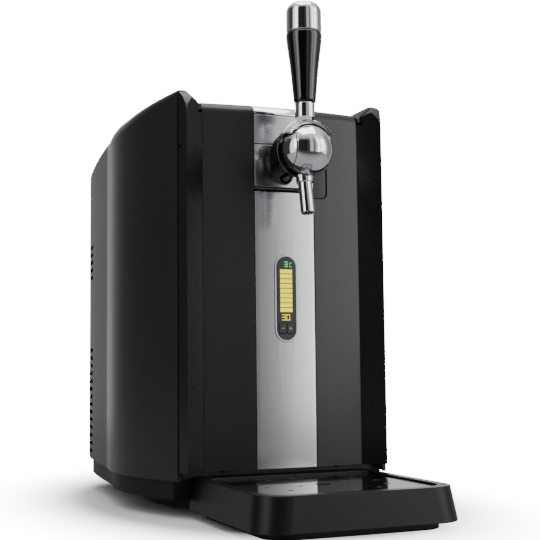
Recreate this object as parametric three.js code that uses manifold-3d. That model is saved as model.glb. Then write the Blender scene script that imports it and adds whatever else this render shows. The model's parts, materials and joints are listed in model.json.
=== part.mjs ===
// Mini keg beer dispenser: flared body on a plinth, hinged front door with a ball tap, drip tray.
// Millimetres, +Z up, the front faces -Y. The origin is under the middle of the whole object.
// While it is built, y = 0 is the plane of the door panels' outer edges.
import * as THREE from 'three';
import { mergeVertices } from 'three/addons/utils/BufferGeometryUtils.js';
import Module from 'manifold-3d';

const wasm = await Module();
wasm.setup();

// General clearances and walls
const gap = 0.3; // between pieces that touch
const overrun = 1; // how far a cutter reaches past what it cuts
const shellWall = 3;
const panelWall = 3;
const sheetWall = 2.5;
const thinWall = 1.5;

// Body
const sideSwell = 33; // how far each side stands out past the front corners
const rearSeamDrawIn = 7; // from the widest place, at each side
const rearDrawIn = 25; // the same where the back starts to turn round
const frontCornerY = -14; // front corners of the bands, ahead of the panels' edges
const shellFrontY = -1; // front edge of the side shells
const rearSeamY = 165;
const rearTurnY = 318;
const bodyBackY = 345;
const shellBottomZ = 31.5;
const bodyTopZ = 374; // at the front horns
const bodyRearTopZ = 349; // where the top meets the back
const topEdgeRadius = 14; // tighter at the horns and wider over the swell of the sides
const hornRadius = 25; // front upper corner of the shells and bands, seen from the side
const backTopRadius = 34;
const topSplitHalf = 60; // the top cover's half width

// Plinth and feet
const footHeight = 4;
const footDiameter = 20;
const plinthInset = 4;
const plinthStepZ = 15; // below it the plinth steps inwards
const plinthStepInset = 34;
const plinthDeck = 3.5;
const plinthWall = 3;

// Door
const panLap = 3.8; // how far the door's inner pan reaches past the chamber's mouth
const bandLip = 16.5; // the part of that pan that lies behind each slanted band
const bandWidth = 19; // each slanted band, from the panels to the front corner
const stripWidth = 57;
const doorBulge = 6; // the middle of the door ahead of its edges
const doorBottomZ = 39;
const doorTopZ = 364;
const doorTopRadius = 11;
const doorTopDepth = 10; // how far back the door's top leans over that height
const doorTopReturn = 9; // how far back the panels' top turns in
const doorSeam = 1.2; // running gap round the door
const panDepth = 2.5; // sheet of the inner pan
const panFrontY = 4.3;
const plugRoom = 9; // between the door's plug and the chamber's side walls
const plugDepth = 12;
const plugRise = 12; // plug's lower edge above the pan's lower edge
const gasketWidth = 6;
const gasketThickness = 2.7;
const hingeOut = 18.5; // hinge axis outside the front panels' edge
const hingeY = -7.5;
const hingePinDiameter = 3;
const hingePinLength = 15;
const hingeLugWidth = 5.6;
const hingeLugHeight = 2;
const upperHingeZ = 320;
const hingeClearance = 0.35;
const doorSwing = 1.75; // radians, as far as the door opens

// Keg chamber
const chamberWidth = 178;
const chamberFloorZ = 48;
const chamberRoofZ = 338;
const chamberFrontY = 11;
const insulationThickness = 6;
const chamberBackY = 199;
const chamberCorner = 50;
const frameThickness = 3;

// Centre strip
const carrierBottomZ = 289;
const carrierTopZ = 327;
const carrierGap = 4.5; // dark gap under the carrier
const stripSeam = 0.8;
const sidePlateWidth = 13; // dark plate right of the carrier
const sidePlateBottomZ = 281;
const sidePlateCorner = 5;
const capBandHeight = 9; // bright band over the strip's top

// Display
const displayWidth = 22;
const displayBottomZ = 150;
const displayTopZ = 228;
const displayRim = 1.1;
const displayProud = 0.9;
const displayThickness = 2.4;
const keyWidth = 6.8;
const keyHeight = 9;
const keyTravel = 0.8;
const keyThickness = 2.2;
const boardThickness = 1.6;

// Tap
const ballDiameter = 46;
const tapY = -54;
const tapZ = 314;
const sideCapShare = 0.68; // where the side caps are cut from the ball, as a share of its radius
const coverWall = 2.4;
const spoutDiameter = 12.2;
const spoutBore = 9;
const spoutLength = 42;
const spoutLean = 0.2; // forward, radians
const spoutBackset = 9; // behind the ball's middle, where the spout starts
const collarDiameter = 15;
const collarHeight = 6;
const saddleWall = 2.4;
const saddleClearance = 0.9;
const saddleWidth = 26;
const leverBackset = 1.5; // handle's axis behind the ball's middle
const neckDiameter = 17.6;
const neckRise = 15.7; // height of the neck above the saddle
const gripHeight = 61;
const gripDiameter = 31.5;
const capHeight = 27.2;
const capDiameter = 31;

// Drip tray
const trayRearMargin = 10; // how much narrower it is at the back than the chamber
const trayFrontWidth = 168;
const trayFrontY = -156;
const trayRearGap = 0.6; // ahead of the chamber's front frame
const trayTopZ = 34;
const trayBottomZ = 6.5;
const trayFlare = 4; // how far the lower edge stands out from the rim
const trayCorner = 25;
const trayRearCorner = 6;
const trayWall = 3;
const trayRim = 9; // width of the rim round the grid
const trayRearRim = 21; // rim behind the grid, under the door
const trayFloor = 2.4;
const gridThickness = 2.2;
const gridRecess = 1.6;
const gridHoleDiameter = 4.6;
const gridCentreHoleDiameter = 13;
const trayFootInset = 8;

// Cooling unit at the back
const coldPlateWidth = 70;
const coldPlateHeight = 90;
const coldPlateThickness = 6;
const coolerZ = 205;
const moduleSide = 40;
const moduleThickness = 4;
const sinkWidth = 100;
const sinkHeight = 110;
const sinkBase = 7;
const sinkFin = 28;
const finThickness = 1.6;
const finPitch = 6.6;
const fanSide = 92;
const fanDepth = 25;
const fanBore = 86;
const fanHubDiameter = 34;
const fanBlades = 7;
const fanWall = 5;

// Louvres of the rear cover
const louvrePitch = 8.3;
const louvreHeight = 4;
const louvreDepth = 44;
const louvreFrontY = 262;
const lowerLouvres = 14;
const lowerLouvreZ = 38;
const upperLouvres = 5;
const upperLouvreZ = 225;

// Electrics and air
const pumpSideRoom = 2.2; // between the pump and the back's narrowest width
const supplyDepth = 62;
const supplyHeight = 52;
const supplyGap = 14; // between the insulation and the supply
const boardWidth = 90;
const boardHeight = 62;
const pumpDiameter = 34;
const pumpLength = 58;
const pumpHeadLength = 16;
const cradleWall = 2.5;
const hoseDiameter = 6;
const nozzleDiameter = 12;
const nozzleLength = 16;
const sensorDiameter = 9;
const inletWidth = 27;
const inletHeight = 20;
const inletDepth = 24;
const rockerWidth = 13;
const rockerHeight = 19;
const rockerDepth = 12;
const catchWidth = 10;
const catchHeight = 24;
const guideDiameter = 13;
const guideBore = 9;

// Widths that follow from the chamber: the door covers its mouth, and the shells stand round it
const doorWidth = chamberWidth + 2 * (panLap - gap - bandLip);
const frontWidth = doorWidth + 2 * bandWidth;
const bodyWidth = frontWidth + 2 * sideSwell;
const rearSeamWidth = bodyWidth - 2 * rearSeamDrawIn;
const rearWidth = bodyWidth - 2 * rearDrawIn;
const plugWidth = chamberWidth - 2 * plugRoom;
const hingeX = -doorWidth / 2 - hingeOut;
const trayRearWidth = chamberWidth - trayRearMargin;
const trayRearY = chamberFrontY - trayRearGap;
const supplyWidth = rearWidth - 2 * (gap + thinWall + pumpDiameter + pumpSideRoom);

// Heights up the handle, from the ball
const gripBottomZ = tapZ + ballDiameter / 2 + saddleClearance + saddleWall + neckRise;
const gripTopZ = gripBottomZ + gripHeight;
const handleTopZ = gripTopZ + gap + capHeight;

// Round shapes
const roundSteps = 28;
const smallSteps = 14;
const edgeSteps = 4;
const doorSteps = 24;

// Looks
const look = (color, roughness, metalness) => new THREE.MeshStandardMaterial({ color, roughness, metalness });
const shellLook = look(0x2b2c2e, 0.5, 0.1);
const rearLook = look(0x3a3c3f, 0.55, 0.1);
const panelLook = look(0x1f2022, 0.45, 0.1);
const plinthLook = look(0x131416, 0.7, 0.0);
const rubberLook = look(0x0c0c0c, 0.9, 0.0);
const linerLook = look(0xc9ccce, 0.4, 0.0);
const foamLook = look(0xe9e4d0, 0.95, 0.0);
const stripLook = look(0xbfc1c4, 0.28, 0.9);
const chromeLook = look(0xe6e8ea, 0.08, 1.0);
const glossLook = look(0x08080a, 0.12, 0.1);
const aluminiumLook = look(0xa9adb0, 0.4, 0.9);
const ceramicLook = look(0xf2f2ee, 0.6, 0.0);
const boardLook = look(0x1d5a33, 0.6, 0.1);
const steelLook = look(0x9a9da0, 0.35, 0.9);

const part = new THREE.Group();

// Solids: closed meshes that can be joined and cut

function solid(geometry) {
  const bare = geometry.clone();
  bare.deleteAttribute('normal');
  bare.deleteAttribute('uv');
  const merged = mergeVertices(bare, shellWall / 1e5);
  return closed(new Float32Array(merged.attributes.position.array), new Uint32Array(merged.index.array));
}

// Faces that point inwards are turned round.
function closed(vertProperties, triVerts) {
  const made = new wasm.Manifold(new wasm.Mesh({ numProp: 3, vertProperties, triVerts }));
  if (made.volume() > 0) return made;
  return new wasm.Manifold(new wasm.Mesh({ numProp: 3, vertProperties, triVerts: triVerts.toReversed() }));
}

function piece(name, made, material) {
  const got = made.getMesh();
  const geometry = new THREE.BufferGeometry();
  geometry.setAttribute('position', new THREE.BufferAttribute(got.vertProperties, 3));
  geometry.setIndex(new THREE.BufferAttribute(got.triVerts, 1));
  geometry.computeVertexNormals();
  const mesh = new THREE.Mesh(geometry, material);
  mesh.name = name;
  part.add(mesh);
  return mesh;
}

function block(x0, x1, y0, y1, z0, z1) {
  const box = new THREE.BoxGeometry(x1 - x0, y1 - y0, z1 - z0);
  return solid(box.translate((x0 + x1) / 2, (y0 + y1) / 2, (z0 + z1) / 2));
}

// A rod between two heights, standing, or lying along Y or X.
function rodZ(diameter, x, y, z0, z1, steps = smallSteps) {
  const rod = new THREE.CylinderGeometry(diameter / 2, diameter / 2, z1 - z0, steps);
  return solid(rod.rotateX(Math.PI / 2).translate(x, y, (z0 + z1) / 2));
}

function rodY(diameter, x, z, y0, y1, steps = smallSteps) {
  const rod = new THREE.CylinderGeometry(diameter / 2, diameter / 2, y1 - y0, steps);
  return solid(rod.translate(x, (y0 + y1) / 2, z));
}

function rodX(diameter, y, z, x0, x1, steps = smallSteps) {
  const rod = new THREE.CylinderGeometry(diameter / 2, diameter / 2, x1 - x0, steps);
  return solid(rod.rotateZ(Math.PI / 2).translate((x0 + x1) / 2, y, z));
}

function ball(diameter, x, y, z, steps = roundSteps) {
  return solid(new THREE.SphereGeometry(diameter / 2, steps, steps / 2).translate(x, y, z));
}

// A closed turned shape about a standing axis, from points (radius, height).
function turned(points, x, y, steps = roundSteps) {
  const profile = points.map(([radius, height]) => new THREE.Vector2(radius, height));
  const lathe = new THREE.LatheGeometry(profile, steps);
  return solid(lathe.rotateX(Math.PI / 2).translate(x, y, 0));
}

// The triangles of a flat outline, wound the way the outline runs.
function capOf(flat) {
  const cap = THREE.ShapeUtils.triangulateShape(flat, []);
  return THREE.ShapeUtils.area(flat) > 0 ? cap : cap.map(([a, b, c]) => [a, c, b]);
}

// Joins rings of equally many points, the first and last closed by caps that follow their outlines.
function loft(rings) {
  const count = rings[0].length;
  const index = [];
  const last = (rings.length - 1) * count;
  for (const [a, b, c] of capOf(rings[0].map((p) => new THREE.Vector2(p.x, p.y)))) index.push(a, c, b);
  for (const [a, b, c] of capOf(rings.at(-1).map((p) => new THREE.Vector2(p.x, p.y)))) {
    index.push(last + a, last + b, last + c);
  }
  for (let ring = 0; ring < rings.length - 1; ring++) {
    for (let i = 0; i < count; i++) {
      const j = (i + 1) % count;
      const [p, q, r, s] = [ring * count + i, ring * count + j, (ring + 1) * count + i, (ring + 1) * count + j];
      index.push(p, q, s, p, s, r);
    }
  }
  return meshed(rings.flat().flatMap((p) => [p.x, p.y, p.z]), index);
}

function meshed(position, index) {
  const geometry = new THREE.BufferGeometry();
  geometry.setAttribute('position', new THREE.Float32BufferAttribute(position, 3));
  geometry.setIndex(index);
  return solid(geometry);
}

const levelRing = (outline, z) => outline.map((p) => new THREE.Vector3(p.x, p.y, z));
const prism = (outline, z0, z1) => loft([levelRing(outline, z0), levelRing(outline, z1)]);
const outlineOf = (pairs) => pairs.map(([x, y]) => new THREE.Vector2(x, y));

// An outline drawn out between two places; the places turn an outline's point into a point in space.
function drawnOut(outline, near, far) {
  const count = outline.length;
  const index = [];
  for (const [a, b, c] of capOf(outline)) index.push(a, c, b, count + a, count + b, count + c);
  for (let i = 0; i < count; i++) {
    const j = (i + 1) % count;
    index.push(i, j, count + j, i, count + j, count + i);
  }
  return meshed([...outline.map(near), ...outline.map(far)].flat(), index);
}

// An outline of (y, z) points drawn out along X, and one of (x, z) points drawn out along Y.
const crossPrism = (outline, x0, x1) => drawnOut(outline, (p) => [x0, p.x, p.y], (p) => [x1, p.x, p.y]);
const facePrism = (outline, y0, y1) => drawnOut(outline, (p) => [p.x, y0, p.y], (p) => [p.x, y1, p.y]);

// Moves every side of a counter-clockwise outline inwards.
function inset(outline, distance) {
  const count = outline.length;
  return outline.map((point, i) => {
    const before = outline[(i + count - 1) % count];
    const after = outline[(i + 1) % count];
    const into = point.clone().sub(before).normalize();
    const out = after.clone().sub(point).normalize();
    const normal = new THREE.Vector2(-into.y - out.y, into.x + out.x).normalize();
    const reach = distance / Math.max(normal.x * -into.y + normal.y * into.x, Math.SQRT1_2 / 2);
    return point.clone().addScaledVector(normal, reach);
  });
}

// Points of a round corner, from one direction to another, in radians.
function corner(x, y, radius, from, to, steps = edgeSteps) {
  const points = [];
  for (let i = 0; i <= steps; i++) {
    const angle = from + ((to - from) * i) / steps;
    points.push([x + radius * Math.cos(angle), y + radius * Math.sin(angle)]);
  }
  return points;
}

// A rectangle with round corners, counter-clockwise.
function roundRectangle(x0, x1, y0, y1, radius, steps = edgeSteps) {
  const quarter = Math.PI / 2;
  return outlineOf([
    ...corner(x1 - radius, y0 + radius, radius, -quarter, 0, steps),
    ...corner(x1 - radius, y1 - radius, radius, 0, quarter, steps),
    ...corner(x0 + radius, y1 - radius, radius, quarter, 2 * quarter, steps),
    ...corner(x0 + radius, y0 + radius, radius, 2 * quarter, 3 * quarter, steps),
  ]);
}

function mirrored(made) {
  const got = made.getMesh();
  const places = got.vertProperties.map((value, i) => (i % 3 === 0 ? -value : value));
  return closed(places, got.triVerts.toReversed());
}

const joined = (first, ...rest) => rest.reduce((sum, next) => sum.add(next), first);
const cut = (first, ...rest) => rest.reduce((left, next) => left.subtract(next), first);
const far = bodyWidth * 2; // a length beyond the whole object, for cutting blocks

// The body's outer form: a plan outline swept upwards, its top edge rounded and sloping to the back

const topSlope = (bodyTopZ - bodyRearTopZ) / (bodyBackY - frontCornerY);
const bodyTopAt = (y) => bodyTopZ - topSlope * (y - frontCornerY);
const bodyStepCount = 30;

// The side in plan: shares of the way from the front corners to the rear seam, and of the swell outwards.
// The outline starts ahead of the corners, where the side profile cuts it off.
const sideShares = [
  [-0.2, -0.44],
  [0, 0],
  [0.28, 0.58],
  [0.52, 0.94],
  [0.74, 0.99],
];

function bodyOutline() {
  const front = frontWidth / 2;
  const swell = bodyWidth / 2 - front;
  const run = rearSeamY - frontCornerY;
  const stations = [
    ...sideShares.map(([along, out]) => [front + swell * out, frontCornerY + run * along]),
    [rearSeamWidth / 2, rearSeamY],
    [(rearSeamWidth + rearWidth) / 4 + topEdgeRadius / 5, (rearSeamY + rearTurnY) / 2],
    [rearWidth / 2, rearTurnY],
    [rearWidth / 2.55, bodyBackY - (bodyBackY - rearTurnY) * 0.36],
    [rearWidth / 4.2, bodyBackY - (bodyBackY - rearTurnY) * 0.06],
    [0, bodyBackY],
  ];
  const curve = new THREE.SplineCurve(outlineOf(stations));
  const right = curve.getPoints(bodyStepCount);
  const left = right.slice(0, -1).reverse().map((p) => new THREE.Vector2(-p.x, p.y));
  return [...right, ...left];
}

// The top edge's radius along the side: shares of the way to the rear seam, and of the radius.
const topEdgeShares = [
  [0, 0.35],
  [0.3, 0.9],
  [0.55, 1.55],
  [0.85, 1.25],
  [1.1, 0.85],
];

function topEdgeAt(y) {
  const along = (y - frontCornerY) / (rearSeamY - frontCornerY);
  const after = topEdgeShares.findIndex(([place]) => place > along);
  if (after === 0) return topEdgeRadius * topEdgeShares[0][1];
  if (after < 0) return topEdgeRadius * topEdgeShares.at(-1)[1];
  const [[from, low], [to, high]] = topEdgeShares.slice(after - 1, after + 1);
  return topEdgeRadius * (low + ((high - low) * (along - from)) / (to - from));
}

// Moves an outline's points towards the middle line of the body.
function towardsSpine(outline, distanceAt) {
  return outline.map((p) => {
    const spine = new THREE.Vector2(0, THREE.MathUtils.clamp(p.y, frontCornerY, rearSeamY));
    return p.clone().addScaledVector(spine.sub(p).normalize(), distanceAt(p.y));
  });
}

// The form with every face moved inwards by a wall; the bottom moves down by the drop.
function bodyBlank(wall, drop) {
  const outline = wall ? inset(bodyOutline(), wall) : bodyOutline();
  const rings = [levelRing(outline, shellBottomZ - drop)];
  for (let step = 0; step <= edgeSteps; step++) {
    const angle = (step / edgeSteps) * (Math.PI / 2);
    const ring = towardsSpine(outline, (y) => topEdgeAt(y) * (1 - Math.cos(angle)));
    const heightAt = (y) => bodyTopAt(y) - topEdgeAt(y) * (1 - Math.sin(angle)) - wall;
    rings.push(ring.map((p) => new THREE.Vector3(p.x, p.y, heightAt(p.y))));
  }
  return loft(rings).intersect(sideProfile(wall, drop));
}

// Seen from the side: round corners at the top of the front and of the back.
function sideProfile(wall, drop) {
  const quarter = Math.PI / 2;
  const points = outlineOf([
    [frontCornerY + wall, shellBottomZ - drop - overrun],
    [bodyBackY - wall, shellBottomZ - drop - overrun],
    ...corner(bodyBackY - backTopRadius, bodyRearTopZ - backTopRadius, backTopRadius - wall, 0, quarter, 6),
    [bodyBackY / 2, bodyTopAt(bodyBackY / 2) + backTopRadius / 4 - wall],
    ...corner(frontCornerY + hornRadius, bodyTopZ - hornRadius, hornRadius - wall, quarter, 2 * quarter, 5),
  ]);
  return crossPrism(points, -far, far);
}

// Between the horns the top falls to the height of the door.
const scoopRun = 44;
const scoopFlare = 20; // how much wider it is at the horns' height than at the door's

const scoopDrop = 5; // how much lower its sides start at the panels' front, to meet the door's round top

// Its sides seen from the front: shares of the flare, and of the rise to the horns.
const scoopShares = [
  [0, 0],
  [0.3, 0.42],
  [0.6, 0.74],
  [0.85, 0.93],
  [1.1, 1.05],
  [1.3, 3],
];

function scoopOutline(wall, drop) {
  const half = doorWidth / 2 + doorSeam + wall;
  const low = doorTopZ - drop - wall;
  const rise = bodyTopZ - doorTopZ + drop;
  const side = scoopShares.map(([out, up]) => [half + scoopFlare * out, low + rise * up]);
  return outlineOf([...side, ...side.map(([x, z]) => [-x, z]).reverse()]);
}

function frontScoop(wall) {
  const back = doorTopReturn + scoopRun;
  const points = outlineOf([
    [frontCornerY - overrun, doorTopZ - wall],
    [doorTopReturn, doorTopZ - wall],
    [back, bodyTopAt(back) + overrun - wall],
    [back, bodyTopZ + far],
    [frontCornerY - overrun, bodyTopZ + far],
  ]);
  const level = crossPrism(points, -far, far).intersect(facePrism(scoopOutline(wall, 0), -far, far));
  const slant = scoopDrop / doorTopReturn;
  const ahead = frontCornerY * 2;
  const place = (y) => (p) => [p.x, y, p.y + slant * y];
  return level.add(drawnOut(scoopOutline(wall, scoopDrop), place(ahead), place(doorTopReturn)));
}

const bodyForm = (wall, drop) => cut(bodyBlank(wall, drop), frontScoop(wall));
const outerBody = bodyForm(0, 0);
const innerBody = bodyForm(shellWall, overrun);
const insideShell = bodyForm(shellWall + gap, 0);
const bodySkin = cut(outerBody, innerBody);
const doorBackY = doorTopReturn + doorSeam;

// Side shells, top cover and louvred rear cover are cut from one skin
function makeShells() {
  const doorSpace = block(-doorWidth / 2 - doorSeam, doorWidth / 2 + doorSeam, -far, doorBackY, 0, far);
  const side = bodySkin.intersect(block(topSplitHalf, far, shellFrontY, rearSeamY, 0, far));
  const right = cut(side, doorSpace);
  piece('right_side_shell', right, shellLook);
  piece('left_side_shell', mirrored(right), shellLook);
  const topHalf = topSplitHalf - stripSeam / 2;
  const top = bodySkin.intersect(block(-topHalf, topHalf, doorBackY, rearSeamY, bodyTopZ / 2, far));
  piece('top_cover', top, shellLook);
  const rear = bodySkin.intersect(block(-far, far, rearSeamY + stripSeam, far, 0, far));
  piece('rear_cover', cut(rear, ...louvres(), ...rearCutouts()), rearLook);
}

function louvres() {
  const slots = [];
  const back = louvreFrontY + louvreDepth;
  const slot = (z) => block(bodyBackY / 5, far, louvreFrontY, back, z, z + louvreHeight);
  for (let row = 0; row < lowerLouvres; row++) slots.push(slot(lowerLouvreZ + row * louvrePitch));
  for (let row = 0; row < upperLouvres; row++) slots.push(slot(upperLouvreZ + row * louvrePitch));
  return [...slots, ...slots.map(mirrored)];
}

// How far back the body reaches at a distance from the middle.
function backAt(x) {
  const outline = bodyOutline().filter((p) => p.x >= 0 && p.y > rearTurnY);
  const beyond = outline.findLast((p) => p.x >= Math.abs(x));
  const nearer = outline.find((p) => p.x <= Math.abs(x));
  const share = beyond.x === nearer.x ? 0 : (Math.abs(x) - nearer.x) / (beyond.x - nearer.x);
  return nearer.y + (beyond.y - nearer.y) * share;
}

// Plinth and feet

const plinthTopZ = shellBottomZ - gap;
const footShares = [
  [-0.24, 0.16],
  [0.24, 0.16],
  [-0.24, 0.8],
  [0.24, 0.8],
];

function makePlinth() {
  const outline = inset(bodyOutline(), plinthInset);
  const stepOutline = (more) => towardsSpine(bodyOutline(), () => plinthStepInset + more);
  const deckZ = plinthTopZ - plinthDeck;
  const skirt = prism(outline, plinthStepZ, plinthTopZ);
  const base = prism(stepOutline(0), footHeight, plinthStepZ + plinthWall);
  const skirtRoom = prism(inset(outline, plinthWall), plinthStepZ + plinthWall, deckZ);
  const baseRoom = prism(stepOutline(plinthWall), 0, deckZ);
  const frontWallY = trayRearY + gap;
  const trayBay = block(-far, far, -far, frontWallY, 0, far);
  const frontWall = skirt.intersect(block(-far, far, frontWallY, frontWallY + plinthWall, 0, far));
  const bosses = feet().map(([x, y]) => rodZ(footDiameter, x, y, footHeight, plinthTopZ - plinthDeck / 2));
  const baseFront = base.intersect(block(-far, far, frontWallY, frontWallY + plinthWall, 0, far));
  const tub = cut(joined(skirt, base), skirtRoom, baseRoom, trayBay);
  piece('plinth', joined(tub, frontWall, baseFront, ...bosses), plinthLook);
  feet().forEach(([x, y], i) => {
    piece(`foot_${i + 1}`, rodZ(footDiameter, x, y, 0, footHeight - gap, roundSteps), rubberLook);
  });
}

const feet = () => footShares.map(([across, along]) => [bodyWidth * across, bodyBackY * along]);

// Keg chamber, its insulation and its front frame

function chamberOutline(spread, frontY) {
  const half = chamberWidth / 2 + spread;
  const back = chamberBackY + spread;
  const radius = chamberCorner + spread;
  const quarter = Math.PI / 2;
  return outlineOf([
    [-half, frontY],
    [half, frontY],
    ...corner(half - radius, back - radius, radius, 0, quarter, 6),
    ...corner(radius - half, back - radius, radius, quarter, 2 * quarter, 6),
  ]);
}

const frameBackY = chamberFrontY + frameThickness;
const linerFrontY = frameBackY + gap;

function makeChamber() {
  const outer = prism(chamberOutline(sheetWall, linerFrontY), chamberFloorZ - sheetWall, chamberRoofZ + sheetWall);
  const inner = prism(chamberOutline(0, linerFrontY - overrun), chamberFloorZ, chamberRoofZ);
  piece('keg_chamber', cut(outer, inner, ...throughHoles()), linerLook);
  const innerSpread = sheetWall + gap;
  const jacketFront = linerFrontY;
  const low = plinthTopZ + gap;
  const high = chamberRoofZ;
  const wrap = prism(chamberOutline(innerSpread + insulationThickness, jacketFront), low, high);
  const hollow = prism(chamberOutline(innerSpread, jacketFront - overrun), low - overrun, high + overrun);
  const window = block(
    -coldPlateWidth / 2 - gap,
    coldPlateWidth / 2 + gap,
    chamberBackY,
    chamberBackY + far,
    coolerZ - coldPlateHeight / 2 - gap,
    coolerZ + coldPlateHeight / 2 + gap,
  );
  piece('insulation_jacket', cut(wrap, hollow, window, ...throughHoles()), foamLook);
}

function makeFrontFrame() {
  const plate = insideShell.intersect(block(-far, far, chamberFrontY, frameBackY, plinthTopZ + gap, far));
  const mouth = block(-chamberWidth / 2, chamberWidth / 2, 0, far, chamberFloorZ, chamberRoofZ);
  const magnet = block(magnetX - gap, magnetX + catchWidth + gap, 0, far, magnetLow - gap, magnetHigh + gap);
  piece('chamber_frame', joined(cut(plate, mouth, magnet)), plinthLook);
  const set = block(magnetX, magnetX + catchWidth, chamberFrontY - gap, frameBackY, magnetLow, magnetHigh);
  piece('catch_magnet', set, steelLook);
}

const catchZ = (doorBottomZ + doorTopZ) / 2;
const magnetLow = catchZ - catchHeight / 2;
const magnetHigh = catchZ + catchHeight / 2;
const magnetX = chamberWidth / 2 + overrun;

// Nozzle and sensor pass through the chamber's back wall
const nozzleX = -chamberWidth / 7;
const nozzleZ = chamberRoofZ - nozzleDiameter * 3;
const sensorX = chamberWidth / 6;
const sensorZ = chamberFloorZ + coldPlateHeight * 0.8;
const jacketBackY = chamberBackY + sheetWall + gap + insulationThickness;

function throughHoles() {
  return [
    rodY(nozzleDiameter + 2 * gap, nozzleX, nozzleZ, chamberBackY - overrun, jacketBackY + far),
    rodY(sensorDiameter + 2 * gap, sensorX, sensorZ, chamberBackY - overrun, jacketBackY + far),
  ];
}

function makeNozzleAndSensor() {
  const inside = chamberBackY - nozzleLength / 2;
  const flange = rodY(nozzleDiameter * 1.5, nozzleX, nozzleZ, inside, chamberBackY - gap);
  const barb = rodY(nozzleDiameter, nozzleX, nozzleZ, inside, jacketBackY + nozzleLength / 2);
  piece('air_nozzle', joined(flange, barb), steelLook);
  const sensor = rodY(sensorDiameter, sensorX, sensorZ, chamberBackY - sensorDiameter, jacketBackY + sensorDiameter);
  piece('temperature_sensor', sensor, steelLook);
}

// Door skins: the bulged front with its rounded top, cut into panels and strips

const doorHalf = doorWidth / 2;
const stripHalf = stripWidth / 2;
const doorFrontAt = (x) => -doorBulge * (1 - (x / doorHalf) ** 2);
const skinBackY = panFrontY - gap;

function doorOutline(drawIn) {
  const reach = doorHalf + doorTopRadius * 2 - drawIn;
  const points = [];
  for (let i = 0; i <= doorSteps; i++) {
    const x = -reach + (2 * reach * i) / doorSteps;
    points.push([x, doorFrontAt(x) + drawIn]);
  }
  const back = doorTopReturn + doorTopRadius * 3 - drawIn;
  return outlineOf([...points, [reach, back], [-reach, back]]);
}

function doorForm(wall) {
  const rings = [levelRing(doorOutline(wall), doorBottomZ - (wall ? overrun : 0))];
  for (let step = 0; step <= edgeSteps + 1; step++) {
    const angle = (step / (edgeSteps + 1)) * (Math.PI / 2);
    const drawIn = doorTopDepth * (1 - Math.cos(angle)) + wall;
    const below = doorTopRadius * (1 - Math.sin(angle)) + wall;
    rings.push(levelRing(doorOutline(drawIn), doorTopZ - below));
  }
  return loft(rings);
}

const doorOuter = doorForm(0);
const doorSkin = cut(doorOuter, doorForm(panelWall)).intersect(block(-far, far, -far, doorTopReturn, 0, far));

// A stretch of the door's skin with ribs back to the inner pan at its sides and lower end.
function ribbedSkin(x0, x1, z0, z1) {
  const skin = doorSkin.intersect(block(x0, x1, -far, far, z0, z1));
  const top = Math.min(z1, doorTopZ - doorTopRadius);
  const ribs = joined(
    block(x0, x0 + panelWall, -far, skinBackY, z0, top),
    block(x1 - panelWall, x1, -far, skinBackY, z0, top),
    block(x0, x1, -far, skinBackY, z0, z0 + panelWall),
  );
  return joined(skin, ribs.intersect(doorOuter));
}

const sidePlateRight = stripHalf + stripSeam + sidePlateWidth;

function sidePlateOutline(spread) {
  const x0 = stripHalf + stripSeam - spread;
  const bottom = sidePlateBottomZ - spread;
  const radius = sidePlateCorner + spread;
  return outlineOf([
    [x0, bottom],
    ...corner(sidePlateRight + spread - radius, bottom + radius, radius, -Math.PI / 2, 0),
    [sidePlateRight + spread, carrierTopZ + spread],
    [x0, carrierTopZ + spread],
  ]);
}

function makeDoorFront() {
  const right = ribbedSkin(stripHalf + stripSeam, doorHalf, doorBottomZ, doorTopZ);
  const plateSpace = facePrism(sidePlateOutline(stripSeam), -far, panFrontY - gap + overrun);
  piece('right_front_panel', cut(right, plateSpace), panelLook);
  piece('left_front_panel', mirrored(right), panelLook);
  const plateBackY = skinBackY;
  const plateFrontY = doorFrontAt(sidePlateRight) + overrun;
  piece('carrier_side_plate', facePrism(sidePlateOutline(0), plateFrontY, plateBackY), glossLook);
  const carrierBottom = carrierBottomZ;
  const lowerTop = carrierBottom - carrierGap;
  const lower = ribbedSkin(-stripHalf, stripHalf, doorBottomZ, lowerTop);
  piece('lower_strip', cut(lower, displayOpening(0)), stripLook);
  const carrier = ribbedSkin(-stripHalf, stripHalf, carrierBottom, carrierTopZ);
  piece('tap_carrier', cut(carrier, guideHole()), stripLook);
  const capBottom = doorTopZ - capBandHeight;
  piece('upper_strip', ribbedSkin(-stripHalf, stripHalf, carrierTopZ + stripSeam, capBottom - stripSeam), stripLook);
  piece('strip_cap', doorSkin.intersect(block(-stripHalf, stripHalf, -far, far, capBottom, far)), chromeLook);
}

// Slanted bands at the door's sides, ahead of the side shells

const bandRearY = shellFrontY - doorSeam * 2;
const bandSweep = 15; // reach of the band's raw section beyond the front corner

// The slanted face runs from beside the panel out to the front corner.
function bandFace() {
  const innerX = doorHalf + gap;
  const slope = frontCornerY / (frontWidth / 2 - innerX);
  const tipX = frontWidth / 2 + overrun;
  return { innerX, tipX, tipY: slope * (tipX - innerX), crossX: innerX + bandRearY / slope };
}

function bandSection() {
  const { tipX, tipY, crossX } = bandFace();
  const farX = tipX + bandSweep;
  return outlineOf([
    [crossX, bandRearY],
    [tipX, tipY],
    [farX, tipY],
    [farX, bandRearY],
  ]);
}

// The space ahead of the slanted face.
function bandAhead() {
  const { innerX, tipX, tipY } = bandFace();
  return outlineOf([
    [innerX - bandSweep, 0],
    [innerX - bandSweep, tipY],
    [tipX, tipY],
    [innerX, 0],
  ]);
}

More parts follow.
